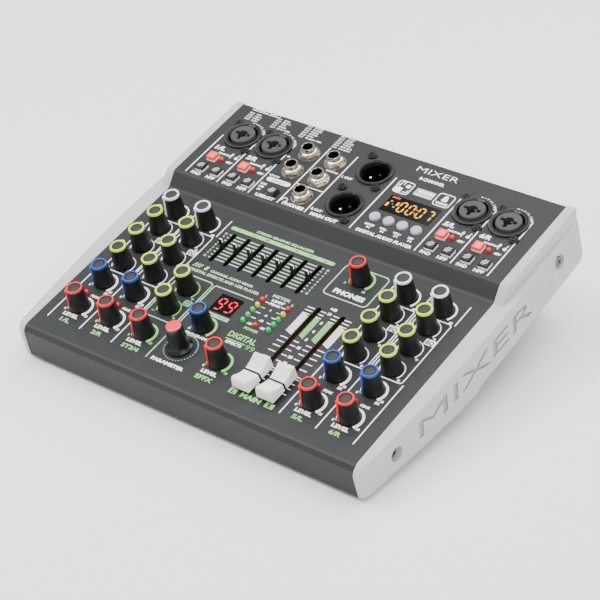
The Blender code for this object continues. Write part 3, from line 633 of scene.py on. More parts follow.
def print_middle():
    # effects
    for node in ("fx_program_knob", "fx_level_knob", "phones_level_knob"):
        leaf.arc(*knobs[node], 7.9, SCALE_START, SCALE_END, (0.2, 2.1))
    for step in range(72):
        if step % 2 == 0 or step < 26:
            sage.arc(-22.4, 30.2, 10.6, step * 5.0, step * 5.0 + 3.4, 0.5, 2)
    white.words(0.05, ("0", -28.6, 45.0, 1.7), ("0", -0.7, 24.2, 1.7), ("PARAMETER", -21.4, 14.8, 2.5, 24.6),
                ("LEVEL", 6.3, 20.2, 2.7, 11.6))
    white.word("PROGRAM", -20.8, 41.4, 2.0, 16.5, 0.04)
    leaf.word("10", 15.8, 24.6, 1.7, weight=0.05)
    leaf.word("EFFX", 6.2, 14.9, 3.3, 12.2, 0.03)
    sage.block(-27.6, -10.4, 59.9, 62.6)
    dark.word("EFFECT PRESET", -19.0, 60.6, 1.3, 14.6, 0.03)
    leaf.word("DIGITAL", 6.8, 51.4, 4.3, 20.4, 0.02)
    leaf.line([(-3.0, 49.4), (11.5, 49.4)], 0.6)
    white.word("EFFECTS", 4.6, 46.2, 2.2, 11.6, 0.03)
    leaf.word("99", 16.0, 46.2, 4.2, 6.4, -0.02)

    # meter
    sage.word("METER", 7.7, 90.4, 2.3, 13.0, 0.02)
    sage.words(0.03, ("L", -2.2, 88.3, 1.8), ("R", 17.4, 88.3, 1.8))
    white.words(0.05, ("LIMIT", 7.7, 87.0, 1.8, 9.4), ("PEAK", 7.6, 84.0, 1.7, 8.0), ("-6", 7.7, 74.4, 1.7),
                ("-10", 7.7, 69.6, 1.7), ("-20", 2.7, 64.6, 1.6, 3.6), ("-20", 12.4, 64.6, 1.6, 3.6))
    sage.word("0", 7.7, 79.2, 1.7, weight=0.05)
    for v, ink in ((84.9, white), (80.0, sage), (75.2, white), (70.4, white)):
        for x in (0.2, 12.0):
            ink.line([(x, v), (x + 3.2, v)], 0.6)
    leaf.word("POWER", 7.1, 60.3, 2.0, 10.4, 0.03)

    # main faders
    columns = ((26.2, 31.4, white), (36.0, 39.8, leaf), (45.1, 49.2, leaf), (53.4, 58.4, white))
    for x_low, x_high, ink in columns:
        for v in (93.0, 90.3, 87.6, 65.5, 61.8, 57.9, 53.3, 48.0, 42.1, 40.2, 36.2, 32.2, 27.6):
            white.line([(x_low, v), (x_high, v)], 0.65)
        for step in range(12):
            v, slant = 69.0 + 1.45 * step, 1.7
            ink.fill([(x_low, v + slant), (x_high, v), (x_high, v + 1.0), (x_low, v + slant + 1.0)])
    for v, text in ((96.6, "+dB"), (92.2, "10"), (83.8, "5"), (76.0, "0"), (68.6, "5"), (61.0, "10"),
                    (52.6, "20"), (47.2, "30"), (41.4, "40"), (27.0, "60")):
        white.word(text, 42.3, v, 2.0, weight=0.06)
    leaf.word("MAIN", 41.4, 14.6, 3.4, 14.4, 0.05)
    for x_low, x_high, text in ((25.8, 31.0, "L"), (51.9, 58.0, "R")):
        leaf.block(x_low, x_high, 14.4, 18.3)
        dark.word(text, (x_low + x_high) / 2, 15.1, 2.5, 2.2, 0.05)

    # phones
    sage.frame(26.5, 58.4, 106.8, 134.3, 0.75, 3.0)
    x, v = knobs["phones_level_knob"]
    leaf.word("0", x - 8.6, v - 6.4, 1.7, weight=0.05)
    sage.word("10", x + 6.6, v - 8.6, 1.7, weight=0.05)
    white.word("PHONES", 43.2, 110.1, 3.6, 22.4, 0.05)


def print_graphic_equaliser():
    leaf.pill(-61.6, 19.3, 128.7, 131.6)
    for (x, _), text in zip(sliders, ("63", "160", "400", "1k", "2.5k", "6.3k", "16k")):
        dark.word(text, x, 129.5, 1.3)
    edges = [sliders[0][0] - 5.0] + [x for x, _ in sliders] + [sliders[-1][0] + 4.6]
    for row, text in enumerate(("12", "9", "6", "3", "0", "3", "6", "9", "12")):
        v = 124.0 - 2.76 * row
        for index, (a, b) in enumerate(zip(edges, edges[1:])):
            start = a + (2.0 if index else 1.6)
            end = b - (2.0 if index < 7 else 1.2)
            sage.line([(start, v), (end, v)], 0.75)
        for x in (18.8, -61.0):
            sage.word(text, x, v - 0.7, 1.5, weight=0.04)
    for step in range(3):
        sage.line([(-62.2 + 2.2 * step, 91.0), (-60.4 + 2.2 * step, 94.4)], 0.8)
    sage.word("8", -52.4, 91.0, 3.4, weight=0.03, slant=0.2)
    sage.words(0.03, ("STEREO GRAPHIC EQUALIZER", -21.4, 133.0, 1.9, 44.6),
               ("CHANNEL AUDIO MIXER", -31.6, 91.1, 1.8, 33.4),
               ("DIGITAL EFFECTS AND USB PLAYER", -34.8, 87.3, 2.1, 54.4))


def print_upper_deck():
    for x, v_high in ((-117.2, 195.0), (-91.0, 196.6), (-65.3, 206.0), (-41.9, 213.6), (-20.2, 213.4),
                      (14.5, 206.8), (62.8, 206.6), (88.8, 206.0), (114.7, 206.2)):
        white.line([(x, 154.6), (x, v_high)], 0.8)
    white.line([(-41.9, 175.4), (-20.2, 175.4)], 0.7)
    for name, x in CHANNELS.items():
        white.word(CHANNEL_NAMES[name], x - 6.6, 181.7, 3.6, 8.0, 0.04, slant=0.15)
        white.words(0.05, ("PAD", x - 6.0, 154.8, 2.5, 7.4), ("HPF", x + 5.9, 154.8, 2.5, 7.0))
        white.words(0.04, ("PHANTOM", x - 0.2, 178.3, 1.5, 9.4), ("48V", x + 8.0, 172.4, 1.9, 5.0))
        white.pill(x + 4.6, x + 6.4, 179.2, 182.0)
        white.line([(x + 5.5, 177.0), (x + 5.5, 179.4)], 0.6)
        white.dot(x + 9.8, 178.6, 1.3)
        white.line([(x + 9.8, 178.6), (x + 10.6, 182.4)], 0.6)
        for index, (mark, spot) in enumerate(zip("MIC/LINE", arc_points(x, COMBO_V, 12.9, 97.0, 32.6, 7))):
            white.word(mark, *spot, 1.6, weight=0.05, turn=7.0 - 9.2 * index)

    # stereo input, monitor, phones and outputs
    white.pill(-62.4, -44.0, 169.7, 173.5)
    dark.word("LINE ONLY", -53.2, 170.9, 1.4, 10.6)
    white.arc(-39.0, 159.0, 1.9, 200, -20, 0.55, 12)
    white.pill(-41.5, -40.3, 157.8, 159.8)
    white.pill(-37.7, -36.5, 157.8, 159.8)
    white.words(0.03, ("LINE IN", -59.2, 174.6, 1.4, 7.6), ("MONITOR", -27.0, 193.4, 1.5, 9.0),
                ("3/L", -62.2, 194.2, 1.5))
    white.words(0.04, ("LINE", -61.0, 165.4, 1.6), ("USB", -61.0, 162.6, 1.6), ("3/4", -61.0, 159.8, 1.6),
                ("L OUT", -14.6, 192.4, 1.9, 8.0), ("R OUT", -14.2, 158.8, 1.9, 8.4))
    white.words(0.05, ("USB/ST", -52.6, 154.8, 2.4, 15.0), ("PHONES", -30.4, 155.2, 2.6, 16.4),
                ("MAIN OUT", -5.9, 154.4, 2.7, 20.6))

    # effect list
    lists = ((-115.0, 222.2, ("HALL", "HALL 2", "ROOM", "PLATE")),
             (-93.2, 224.4, ("ECHO", "DELAY 2", "TAPE", "SPRING", "ECHO + VERB")),
             (-69.6, 226.4, ("CHORUS", "FLANGER", "PHASER", "ROTARY", "PITCH", "CHORUS + VERB")),
             (-42.6, 226.4, ("VOCAL", "STAGE", "CHURCH", "TUNNEL", "SOFT GATE", "SLAP ECHO")))
    for column, (x, top, words) in enumerate(lists):
        for row, text in enumerate(words):
            v = top - 2.2 * row - 0.7
            number = 10 * column + 2 * row
            white.word(f"{number:02d}-{number + 1:02d}", x, v, 1.25, align=0.0)
            white.word(text, x + 5.6, v, 1.25, align=0.0)
    white.frame(-115.4, -92.8, 224.9, 228.2, 0.4, 1.0)
    white.word("EFFECT LIST", -104.2, 225.7, 1.8, 19.6, 0.03)

    # player
    white.word("MIXER", 37.0, 217.7, 5.0, 30.5, -0.012)
    white.word("8-CHANNEL", 37.4, 211.4, 2.6, 18.4, 0.03)
    for x_low, x_high in ((18.6, 29.5), (48.4, 59.7)):
        white.frame(x_low, x_high, 195.2, 206.3, 0.7, 2.0)
    white.block(19.2, 24.0, 195.8, 200.2)
    white.line([(20.8, 202.0), (20.8, 205.0), (23.0, 205.6), (23.0, 202.6)], 0.6)
    for x, v, radius in ((20.2, 201.9, 0.8), (26.4, 202.6, 1.7), (54.2, 203.2, 1.7)):
        white.dot(x, v, radius)
    white.line([(25.2, 197.0), (28.2, 197.0), (28.2, 199.4)], 0.7)
    white.pill(52.0, 56.4, 199.8, 202.0)
    white.word("WAVE", 54.1, 196.6, 2.0, 8.4, 0.05)
    for (x, _), text in zip(KEYS, ("MODE", "VOL-", "VOL+", "REP")):
        white.word(text, x + 1.0, 161.9, 1.7, weight=0.05)
        white.fill([(x + 0.2, 159.4), (x + 2.2, 160.4), (x + 0.2, 161.2)])
        white.block(x + 2.3, x + 2.8, 159.4, 161.2)
    white.word("DIGITAL AUDIO PLAYER", 39.5, 154.7, 2.5, 41.0, 0.045)


make_deck()
print_channels()
print_middle()
print_graphic_equaliser()
for ink in (white, leaf, sage, dark):
    ink.deck = UPPER
print_upper_deck()
white.done("print_white")
leaf.done("print_green")
sage.done("print_pale_green")
dark.done("print_dark")


# ---- cheeks ----
CHEEK_INNER = 125.15
CHEEK_SCREWS = ((28.5, -13.0), (199.5, -9.5))
CHEEK_ENDS = ((101.0, 101.0, -31.8), (107.0, 107.0, -29.2), (130.0, 130.0, -28.4), (148.0, 147.0, -27.8),
              (165.0, 164.0, -27.2), (200.0, 197.0, -26.0), (224.5, 218.5, -24.6), (227.2, 221.6, -22.0))


def cheek_reach(v):
    """How far out a cheek comes at its foot."""
    t = min(max(v / 130.0, 0.0), 1.0)
    return 130.4 + 6.8 * (1.0 - (1.0 - t) ** 1.8)


def cheek_top_reach(v):
    """How far out it comes at its top, which leans in towards the rear."""
    return cheek_reach(v) - 4.6 * max(v - 148.0, 0.0) / 81.0


def cheek_stations():
    """(v, w) of the top and of the bottom edge at each slice of a cheek."""
    nose, over = 7.0, 1.5
    out = [(-over, -nose, -1.1, -22.9)]
    for step in range(1, 11):
        turn = math.radians(9.0 * step)
        v = nose * (1.0 - math.cos(turn)) - over
        out.append((v, -nose * (1.0 - math.sin(turn)), v, -23.0 - 0.09 * v))
    for v in (9.0, 15.0, 22.0, 30.0, 38.0, 47.0, 56.0, 66.0, 76.0, 86.0):
        out.append((v, 0.0, v, -23.0 - 0.092 * v))
    for (v0, low0, w0), (v1, low1, w1) in zip(CHEEK_ENDS, CHEEK_ENDS[1:]):
        out.append((v0, 0.0, low0, w0))
        out.append(((v0 + v1) / 2, 0.0, (low0 + low1) / 2, (w0 + w1) / 2))
    out.append((227.2, 0.0, 221.6, -22.0))
    return out


def make_cheek(name, side):
    shell = Shape(CHEEK, CHEEK_MARK)
    rings = []
    edge = 1.1
    for v_top, w_top, v_low, w_low in cheek_stations():
        pull = 2.4 * max(0.0, 1.0 - (v_top + 1.5) / 5.0) ** 2
        foot, top = cheek_reach(v_low) - pull, cheek_top_reach(v_top) - pull
        ring = [(CHEEK_INNER, w_top)]
        ring += arc_points(top - edge, w_top - edge, edge, 90, 0, 5)
        ring += arc_points(foot - edge, w_low + edge, edge, 0, -90, 4)
        ring += [(CHEEK_INNER, w_low)]
        rings.append([(side * x, v_low + (v_top - v_low) * (w - w_low) / (w_top - w_low), w) for x, w in ring])
    shell.loft(rings)
    cheek = loose(shell.mesh(name, 40.0), name)

    # screw recesses, and the word cut into the side
    tool = Shape(CHEEK, CHEEK_MARK)
    quarter = Matrix.Rotation(math.pi / 2, 4, "Y")
    for v, w in CHEEK_SCREWS:
        matrix = Matrix.Translation((side * cheek_reach(v), v, w)) @ quarter
        bmesh.ops.create_cone(tool.bm, cap_ends=True, segments=40, radius1=4.9, radius2=4.9, depth=7.0, matrix=matrix)
    tool.mark()
    depth, foot, tall, start, length, lean = 0.7, -19.0, 12.5, 48.0, 116.0, 0.12
    points, faces, width = letter_mesh("MIXER", 0.0)
    made = []
    for px, py in points:
        t = px / width
        w = foot + tall * py / CAPITAL
        v = start + length * (t if side > 0 else 1.0 - t) + lean * (w - foot)
        skin = cheek_reach(v) - (cheek_reach(v) - cheek_top_reach(v)) * (1.0 + w / 27.0)
        made.append(tool.bm.verts.new((side * (skin - depth), v, w)))
    flat = [tool.bm.faces.new([made[i] for i in face]) for face in faces]
    thicken(tool.bm, flat, (side * 1.6, 0.0, 0.0))
    tool.use(CHEEK_MARK).mark()
    cut(cheek, loose(tool.mesh(name + "_tool"), name + "_tool"))
    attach(cheek, "chassis")
    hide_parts(name)

    # the raised rear part
    upper = Shape(CHEEK)
    rings = []
    foot = -2.5
    for v_top, w_top, v_low in ((141.6, -1.6, 141.0), (144.6, 1.0, 143.8), (148.6, 4.9, 147.6), (151.8, 7.9, 150.6),
                                (153.4, UPPER, 152.4), (156.0, UPPER, 155.4), (190.0, UPPER, 189.0),
                                (227.6, UPPER, 226.0), (228.8, UPPER - 0.4, 226.6)):
        edge = min(0.9, (w_top - foot) * 0.45)
        ring = [(CHEEK_INNER, v_top, w_top)]
        for x, w in arc_points(131.3 - edge, w_top - edge, edge, 90, 0, 5):
            ring.append((x, v_top + (v_low - v_top) * (w_top - w) / (w_top - foot), w))
        ring += [(132.0, v_low, foot), (CHEEK_INNER, v_low, foot)]
        rings.append([(side * x, v, w) for x, v, w in ring])
    upper.loft(rings)
    upper.put(name + "_raised", "cheek_plastic", 40.0)

    screw = Shape(STEEL_SCREW, HOLE_SHADE)
    for v, w in CHEEK_SCREWS:
        screw.begin()
        screw.use(STEEL_SCREW).turned([(0.0, -0.3), (3.3, -0.3), (3.3, 0.5), (2.8, 1.1), (1.4, 1.35), (0.0, 1.4)], 28)
        # The cross in the screw head is near-black: painted shade in the recess.
        screw.use(HOLE_SHADE).slab(0.0, 0.0, 2.1, 0.32, 1.0, 1.5, 0.08, 1)
        screw.slab(0.0, 0.0, 0.32, 2.1, 1.0, 1.5, 0.08, 1)
        turn = Matrix.Rotation(side * math.pi / 2, 4, "Y") @ Matrix.Rotation(0.5, 4, "Z")
        screw.move(Matrix.Translation((side * (cheek_reach(v) - 3.5), v, w)) @ turn)
    screw.put(name + "_screws", "cheek_plastic")


make_cheek("cheek_left", -1.0)
make_cheek("cheek_right", 1.0)


# ---- knobs ----
def make_knob_mesh(ring):
    knob = Shape(BODY, ring, DISC)
    knob.use(BODY).turned([(0.0, -6.0), (3.0, -6.0), (3.0, 0.8), (6.3, 0.8), (6.55, 1.05), (6.55, 1.6), (6.42, 1.9),
                           (6.30, 3.6), (5.20, 14.7), (5.0, 14.9), (0.0, 14.9)], 64, wave=0.05)
    knob.use(ring).turned([(3.2, 14.9), (5.16, 14.9), (5.20, 15.2), (5.16, 15.9), (5.0, 16.3), (4.7, 16.5),
                           (4.35, 16.5), (4.05, 16.36), (3.9, 16.1), (3.85, 15.5), (3.2, 15.5)], 64)
    knob.use(BODY).turned([(3.88, 15.5), (3.8, 15.9), (3.5, 16.0), (3.2, 15.8)], 48)
    knob.use(DISC).turned([(3.3, 15.4), (3.2, 15.9), (2.8, 16.1), (1.4, 16.2), (0.0, 16.25)], 48)
    pointer = []
    for height, reach, half in ((0.95, 7.0, 1.0), (2.0, 6.95, 1.05), (8.0, 6.45, 1.1), (13.6, 5.9, 1.2),
                                (15.0, 6.0, 1.2), (16.0, 5.9, 1.15), (16.35, 5.6, 0.95)):
        across = ((reach - 1.6, half), (reach - 0.2, half), (reach, half * 0.6))
        pointer.append([(r, -h, height) for r, h in across] + [(r, h, height) for r, h in reversed(across)])
    knob.use(ring).loft(pointer)
    return knob.mesh("knob_" + ring.name, 38.0)


def knob_look(node):
    """Ring and rest angle of a knob."""
    if "_eq_" in node:
        return LIME_RING, 90.0
    if node.endswith("gain_knob"):
        return WHITE_RING, 236.0
    if node.endswith("_fx_knob") or node == "fx_program_knob":
        return BLUE_RING, 236.0
    return RED_RING, 236.0


def make_encoder():
    body = Shape(GLOSS, CORAL)
    body.use(GLOSS).turned([(0.0, -6.0), (3.0, -6.0), (3.0, 0.8), (8.1, 0.8), (8.35, 1.0), (8.3, 1.5), (7.9, 1.9),
                            (7.0, 2.5), (6.5, 3.2), (6.3, 4.2), (5.9, 9.0), (5.5, 15.5), (5.4, 17.2), (5.15, 17.8),
                            (4.7, 18.0), (0.0, 18.0)], 64)
    body.use(CORAL).turned([(4.7, 17.7), (4.65, 18.2), (4.4, 18.42), (3.6, 18.48), (0.0, 18.5)], 56)
    return body.mesh("encoder", 38.0)


knob_meshes = {ring: make_knob_mesh(ring) for ring in (RED_RING, BLUE_RING, LIME_RING, WHITE_RING)}
for node, (x, v) in knobs.items():
    if node == "fx_parameter_knob":
        dress(node, make_encoder(), "encoder_plastic", (x, v, 0.0))
    else:
        ring, angle = knob_look(node)
        dress(node, knob_meshes[ring], "knob_plastic", (x, v, 0.0), math.radians(angle))


# ---- faders ----
def fader_height(v):
    """Side profile of a fader cap: rounded ends and a scooped top."""
    a = abs(v)
    for start, height in ((11.9, 9.0), (11.5, 9.7), (10.9, 10.25), (9.7, 10.5)):
        if a > start:
            return height
    t = a / 9.6
    return 6.7 + 3.8 * (0.55 * t + 0.45 * t * t * t)


def make_fader_mesh():
    line_half, ridge, ribs = 0.75, 9.6, 8
    side = [-12.0, -11.75, -11.2, -10.4]
    side += [round((ridge - line_half) * i / (ribs * 4) - ridge, 4) for i in range(ribs * 4 + 1)]
    places = side + [-s for s in reversed(side)]
    cap = Shape(IVORY, BLACK)
    stations, marks = [], []
    for v in places:
        top = fader_height(v)
        if line_half < abs(v) < 9.5 and (abs(v) - line_half) / (ridge - line_half) * ribs % 1.0 < 0.3:
            top -= 0.3
        inset = 0.25 if abs(v) > 11.9 else 0.0
        half = ((6.2 - inset, 2.7), (5.45 - inset, top - 0.6), (4.9 - inset, top))
        stations.append([(-x, v, w) for x, w in half] + [(x, v, w) for x, w in reversed(half)])
    for a, b in zip(places, places[1:]):
        marks.append(BLACK if a >= -line_half - 0.01 and b <= line_half + 0.01 else IVORY)
    cap.loft(stations, marks)
    cap.use(BLACK).slab(0.0, 0.0, 0.8, 2.0, -4.2, 3.2, 0.1, 1)
    return cap.mesh("fader_cap", 28.0)


def make_lever_mesh():
    lever = Shape(BLACK, INK)
    lever.use(BLACK).slab(0.0, 0.0, 1.1, 1.6, -4.2, 2.0, 0.12, 1)
    lever.loft([[(-a, -b, w), (a, -b, w), (a, b, w), (-a, b, w)]
                for a, b, w in ((1.1, 1.6, 2.0), (0.95, 1.2, 4.6), (1.1, 1.5, 7.0), (0.9, 1.25, 7.35))])
    stripe = ((1.12, 0.9, 0.35, 4.6), (1.22, 0.9, 0.4, 6.9), (1.0, -1.0, 0.4, 7.42))
    lever.use(INK).loft([[(a, -half, w), (b, -half, w), (b, half, w), (a, half, w)] for a, b, half, w in stripe])
    return lever.mesh("eq_lever", 30.0)


fader_mesh, lever_mesh = make_fader_mesh(), make_lever_mesh()
for side in faders:
    dress(f"main_fader_{side}", fader_mesh, "fader_cap_plastic", (*centre_of(f"main_fader_{side}"), 0.0))
for index, (x, v) in enumerate(sliders, start=1):
    dress(f"graphic_eq_slider_{index}", lever_mesh, "slider_plastic", (x, v, 0.0))


# ---- push buttons ----
def make_button_mesh(name, upper, top, rim):
    cap = Shape(rim, upper, top)
    cap.use(rim).slab(0.0, 0.0, 3.3, 3.3, -6.0, 1.2, 0.3)
    cap.use(upper).slab(0.0, 0.0, 3.15, 3.15, 0.9, 3.15, 0.35, 3)
    # The three diagonal stripes on the top are painted reflections.
    cap.use(top)
    for start, end in (((-2.1, -0.3), (0.3, 2.1)), ((-1.9, -1.9), (1.9, 1.9)), ((-0.3, -2.1), (2.1, 0.3))):
        a, b = Vector(start), Vector(end)
        run = (b - a).normalized()
        side = Vector((-run.y, run.x)) * 0.24
        cap.prism([a - side, b - side, b + side, a + side], 3.1, 3.2)
    return cap.mesh(name, 34.0)


button_meshes = {"phantom": make_button_mesh("phantom_cap", PHANTOM, PHANTOM_REFLECTION_STRIPES, RIM_ROSE),
                 "plain": make_button_mesh("plain_cap", SMOKE, CAP_REFLECTION_STRIPES, RIM),
                 "dark": make_button_mesh("dark_cap", SMOKE, CAP_REFLECTION_STRIPES, SMOKE)}
for node, (x, v) in buttons.items():
    kind = "phantom" if "phantom" in node else ("dark" if node.startswith("usb") else "plain")
    slot = "phantom_button_plastic" if kind == "phantom" else "push_button_plastic"
    dress(node, button_meshes[kind], slot, (x, v, UPPER))

strip = Shape(KEY)
for x, v in KEYS:
    strip.turned([(0.0, -2.8), (3.75, -2.8), (3.75, 0.4), (3.6, 0.9), (3.3, 1.3), (2.8, 1.5), (1.6, 1.58),
                  (0.0, 1.6)], 40, (x, 0.0))
strip.box((KEYS[0][0] - 5.0, -4.0, -3.6), (KEYS[-1][0] + 5.0, 4.0, -2.4), 0.3, 1)
strip.put("player_keys", "player_key_plastic", body="player_key_strip", at=(0.0, KEYS[0][1], UPPER),
          replaces=("player_key_strip",))


# ---- sockets ----
def screwed_ear(shape, x, v, profile):
    """One ear of a connector's flange, with its cross-headed screw."""
    shape.use(FLANGE).turned([(0.0, UPPER), *profile, (0.0, profile[-1][1])], 28, (x, v))
    low = profile[-1][1] - 0.1
    shape.use(SCREW).turned([(0.0, low), (2.0, low), (2.0, low + 0.5), (1.6, low + 0.95), (0.0, low + 1.05)], 24,
                            (x, v))
    # The cross in the ear screw is near-black: painted shade in the recess.
    shape.use(HOLE_SHADE).slab(x, v, 1.2, 0.25, low + 0.75, low + 1.1, 0.05, 1)
    shape.slab(x, v, 0.25, 1.2, low + 0.75, low + 1.1, 0.05, 1)


def keyhole():
    """(direction, reach) of the insert's bore: a round hole with three round contact lobes."""
    bore, lobe_at, lobe = 3.3, 4.5, 1.35
    out = []
    for angle in range(0, 360, 2):
        reach = bore
        for middle in (0.0, 180.0, 270.0):
            off = math.radians((angle - middle + 180.0) % 360.0 - 180.0)
            along, across = lobe_at * math.cos(off), lobe_at * math.sin(off)
            if abs(across) < lobe and along > 0:
                reach = max(reach, along + math.sqrt(lobe ** 2 - across ** 2))
        out.append((math.radians(angle), reach))
    return out


def make_combos():
    hardware = Shape(FLANGE, INSERT, HOLE_SHADE, SCREW, PIN)
    hole = keyhole()
    v = COMBO_V
    for x in CHANNELS.values():
        for dx, dv in ((-10.5, 9.6), (10.6, -11.6)):
            screwed_ear(hardware, x + dx, v + dv, ((3.1, UPPER), (3.1, 9.4), (2.7, 9.8)))
        hardware.use(FLANGE).turned([(11.3, 4.0), (11.3, 8.52), (12.9, 8.52), (12.9, 9.0), (12.6, 9.8)], 64, (x, v))
        # The lighter grey ring round the flange's top edge is a painted highlight, made in the insert's grey.
        hardware.use(INSERT).turned([(12.6, 9.8), (12.4, 10.05), (12.1, 10.1), (11.9, 9.95)], 64, (x, v))
        hardware.use(BLACK).turned([(11.9, 9.95), (11.3, 9.75), (10.0, 9.7), (9.75, 9.4), (9.75, -2.0), (8.6, -2.0),
                                    (8.6, 4.0), (11.3, 4.0)], 64, (x, v))
        # Near-black annulus deep between insert and flange: painted shade.
        hardware.use(HOLE_SHADE).turned([(9.8, -1.8), (7.8, -1.8)], 48, (x, v))
        rings = [[(radius, a, w) for a, _ in hole]
                 for radius, w in ((8.4, -1.6), (8.4, 10.1), (8.2, 10.6), (7.8, 10.9))]
        rings += [[(r + grow, a, w) for a, r in hole] for grow, w in ((0.25, 10.9), (0.0, 10.65), (0.0, 1.0))]
        hardware.use(INSERT).loft([[(x + r * math.cos(a), v + r * math.sin(a), w) for r, a, w in ring]
                                   for ring in rings], caps=False)
        # Near-black disc closing the bore: painted shade inside the socket.
        hardware.use(HOLE_SHADE).turned([(0.0, 1.2), (7.6, 1.2)], 40, (x, v))
        hardware.use(PIN).box((x - 1.0, v + 2.7, 2.0), (x + 1.0, v + 3.2, 7.5), 0.15, 1)
        hardware.use(INSERT).box((x - 2.6, v + 9.0, 9.6), (x + 2.6, v + 10.9, 10.1), 0.2)
    hardware.put("combo_inputs", "board_assembly", 34.0, replaces=("main_board",))


def make_outputs():
    hardware = Shape(FLANGE, BLACK, HOLE_SHADE, PIN, SCREW)
    x = XLR_X
    for v in XLR_ROWS:
        for dx, dv in ((-10.8, 13.0), (9.0, -12.6)):
            screwed_ear(hardware, x + dx, v + dv, ((3.0, UPPER), (3.0, 9.7), (2.6, 10.1)))
        hardware.use(FLANGE).turned([(11.7, 3.0), (11.7, 8.52), (12.5, 8.52), (12.4, 9.4), (11.9, 9.9), (11.3, 10.0),
                                     (10.9, 9.85), (10.5, 9.3)], 64, (x, v))
        hardware.use(BLACK).turned([(10.5, 9.3), (10.2, 9.35), (9.9, 9.2), (9.6, 8.4)], 64, (x, v))
        hardware.use(FLANGE).turned([(9.6, 8.4), (9.45, 8.0), (9.2, 7.2), (9.1, 6.6)], 64, (x, v))
        # Near-black inside of the cup: painted shade.
        hardware.use(HOLE_SHADE).turned([(9.1, 6.6), (9.0, -4.9), (8.8, -5.0), (0.0, -5.0)], 64, (x, v))
        hardware.use(BLACK).box((x - 1.7, v + 9.0, 0.0), (x + 1.7, v + 11.3, 9.6), 0.25)
        # Two of the three pins take the dark screw metal as painted shade; only the pin at 180 degrees keeps the
        # bright pin metal.
        for mat, spot in zip((SCREW, SCREW, PIN), arc_points(x, v, 4.4, 0, 180, 2)):
            hardware.use(mat).turned([(1.2, -5.2), (1.2, 2.9), (1.0, 3.4), (0.6, 3.7), (0.0, 3.75)], 20, spot)
    hardware.put("stereo_outputs", "board_assembly", 34.0)


def make_jacks():
    metal = Shape(NICKEL, HOLE_SHADE, BLACK)
    for x, v in JACKS:
        spin = (x * 0.7 + v * 1.3) % 1.0
        metal.use(NICKEL).turned([(4.6, UPPER), (7.3, UPPER), (7.4, 8.7), (7.3, 8.95), (4.6, 8.95)], 48, (x, v))
        metal.turned([(4.4, 8.95), (6.75, 8.95), (7.0, 9.2), (7.0, 10.6), (6.4, 11.2), (4.4, 11.2)], 6, (x, v), spin)
        metal.turned([(4.4, 11.2), (5.5, 11.25), (5.35, 11.8), (4.7, 12.2), (4.35, 12.4), (4.35, 13.9), (4.5, 14.2),
                      (4.5, 15.2), (4.3, 15.5), (3.7, 15.5), (3.5, 15.3), (3.45, 14.6)], 48, (x, v))
        # Near-black bore wall and floor: painted shade inside the jack.
        metal.use(HOLE_SHADE).turned([(3.45, 14.6), (3.3, 14.4), (3.3, 0.5), (0.0, 0.5)], 40, (x, v))
    metal.put("line_jacks", "board_assembly", 30.0)


def make_port():
    x, v = USB_PORT
    low, high = -5.0, UPPER + 0.1
    port = Shape(SHELL, BLACK, HOLE_SHADE)
    # Near-black floor of the port: painted shade.
    port.use(HOLE_SHADE).slab(x, v, 6.8, 3.2, low - 0.6, low)
    port.use(SHELL)
    for dx, dv, half_x, half_v in ((0.0, -3.0, 6.85, 0.25), (0.0, 3.0, 6.85, 0.25), (-6.6, 0.0, 0.25, 3.25),
                                   (6.6, 0.0, 0.25, 3.25)):
        port.slab(x + dx, v + dv, half_x, half_v, low, high, 0.08, 1)
    port.use(INK).slab(x, v + 1.4, 5.6, 0.7, low, UPPER - 0.2, 0.15, 1)
    port.use(SHELL).slab(x, v - 1.9, 5.9, 0.6, low, UPPER - 0.2, 0.15, 1)
    for dx in (-3.9, -1.3, 1.3, 3.9):
        port.use(PIN).slab(x + dx, v + 0.61, 0.5, 0.11, low, UPPER - 1.6, 0.05, 1)
    for dx in (-3.0, 3.0):
        port.use(SHELL).slab(x + dx, v - 2.6, 1.4, 0.3, 2.0, 7.8, 0.2, 1)
    port.put("usb_port", "board_assembly")


SEGMENTS = {"0": "abcdef", "7": "abc", "9": "abcdfg"}
LIT = 0.06


def seven_segment(shape, digit, x, v, width, height, stroke, deck, slant=0.08):
    """One figure from seven bars; x, v is its lower left corner."""
    mid, top = height / 2, height
    gap = stroke * 0.35
    bars = {"a": (gap, top, width - gap, top), "g": (gap, mid, width - gap, mid), "d": (gap, 0, width - gap, 0),
            "b": (width, mid + gap, width, top - gap), "c": (width, gap, width, mid - gap),
            "f": (0, mid + gap, 0, top - gap), "e": (0, gap, 0, mid - gap)}
    for key in SEGMENTS[digit]:
        x0, v0, x1, v1 = bars[key]
        a = Vector((x + x0 + v0 * slant, v + v0))
        b = Vector((x + x1 + v1 * slant, v + v1))
        run = (b - a).normalized()
        side = Vector((-run.y, run.x)) * stroke / 2
        tip = run * stroke / 2
        shape.prism([a, a + tip - side, b - tip - side, b, b - tip + side, a + tip + side], deck, deck + LIT)


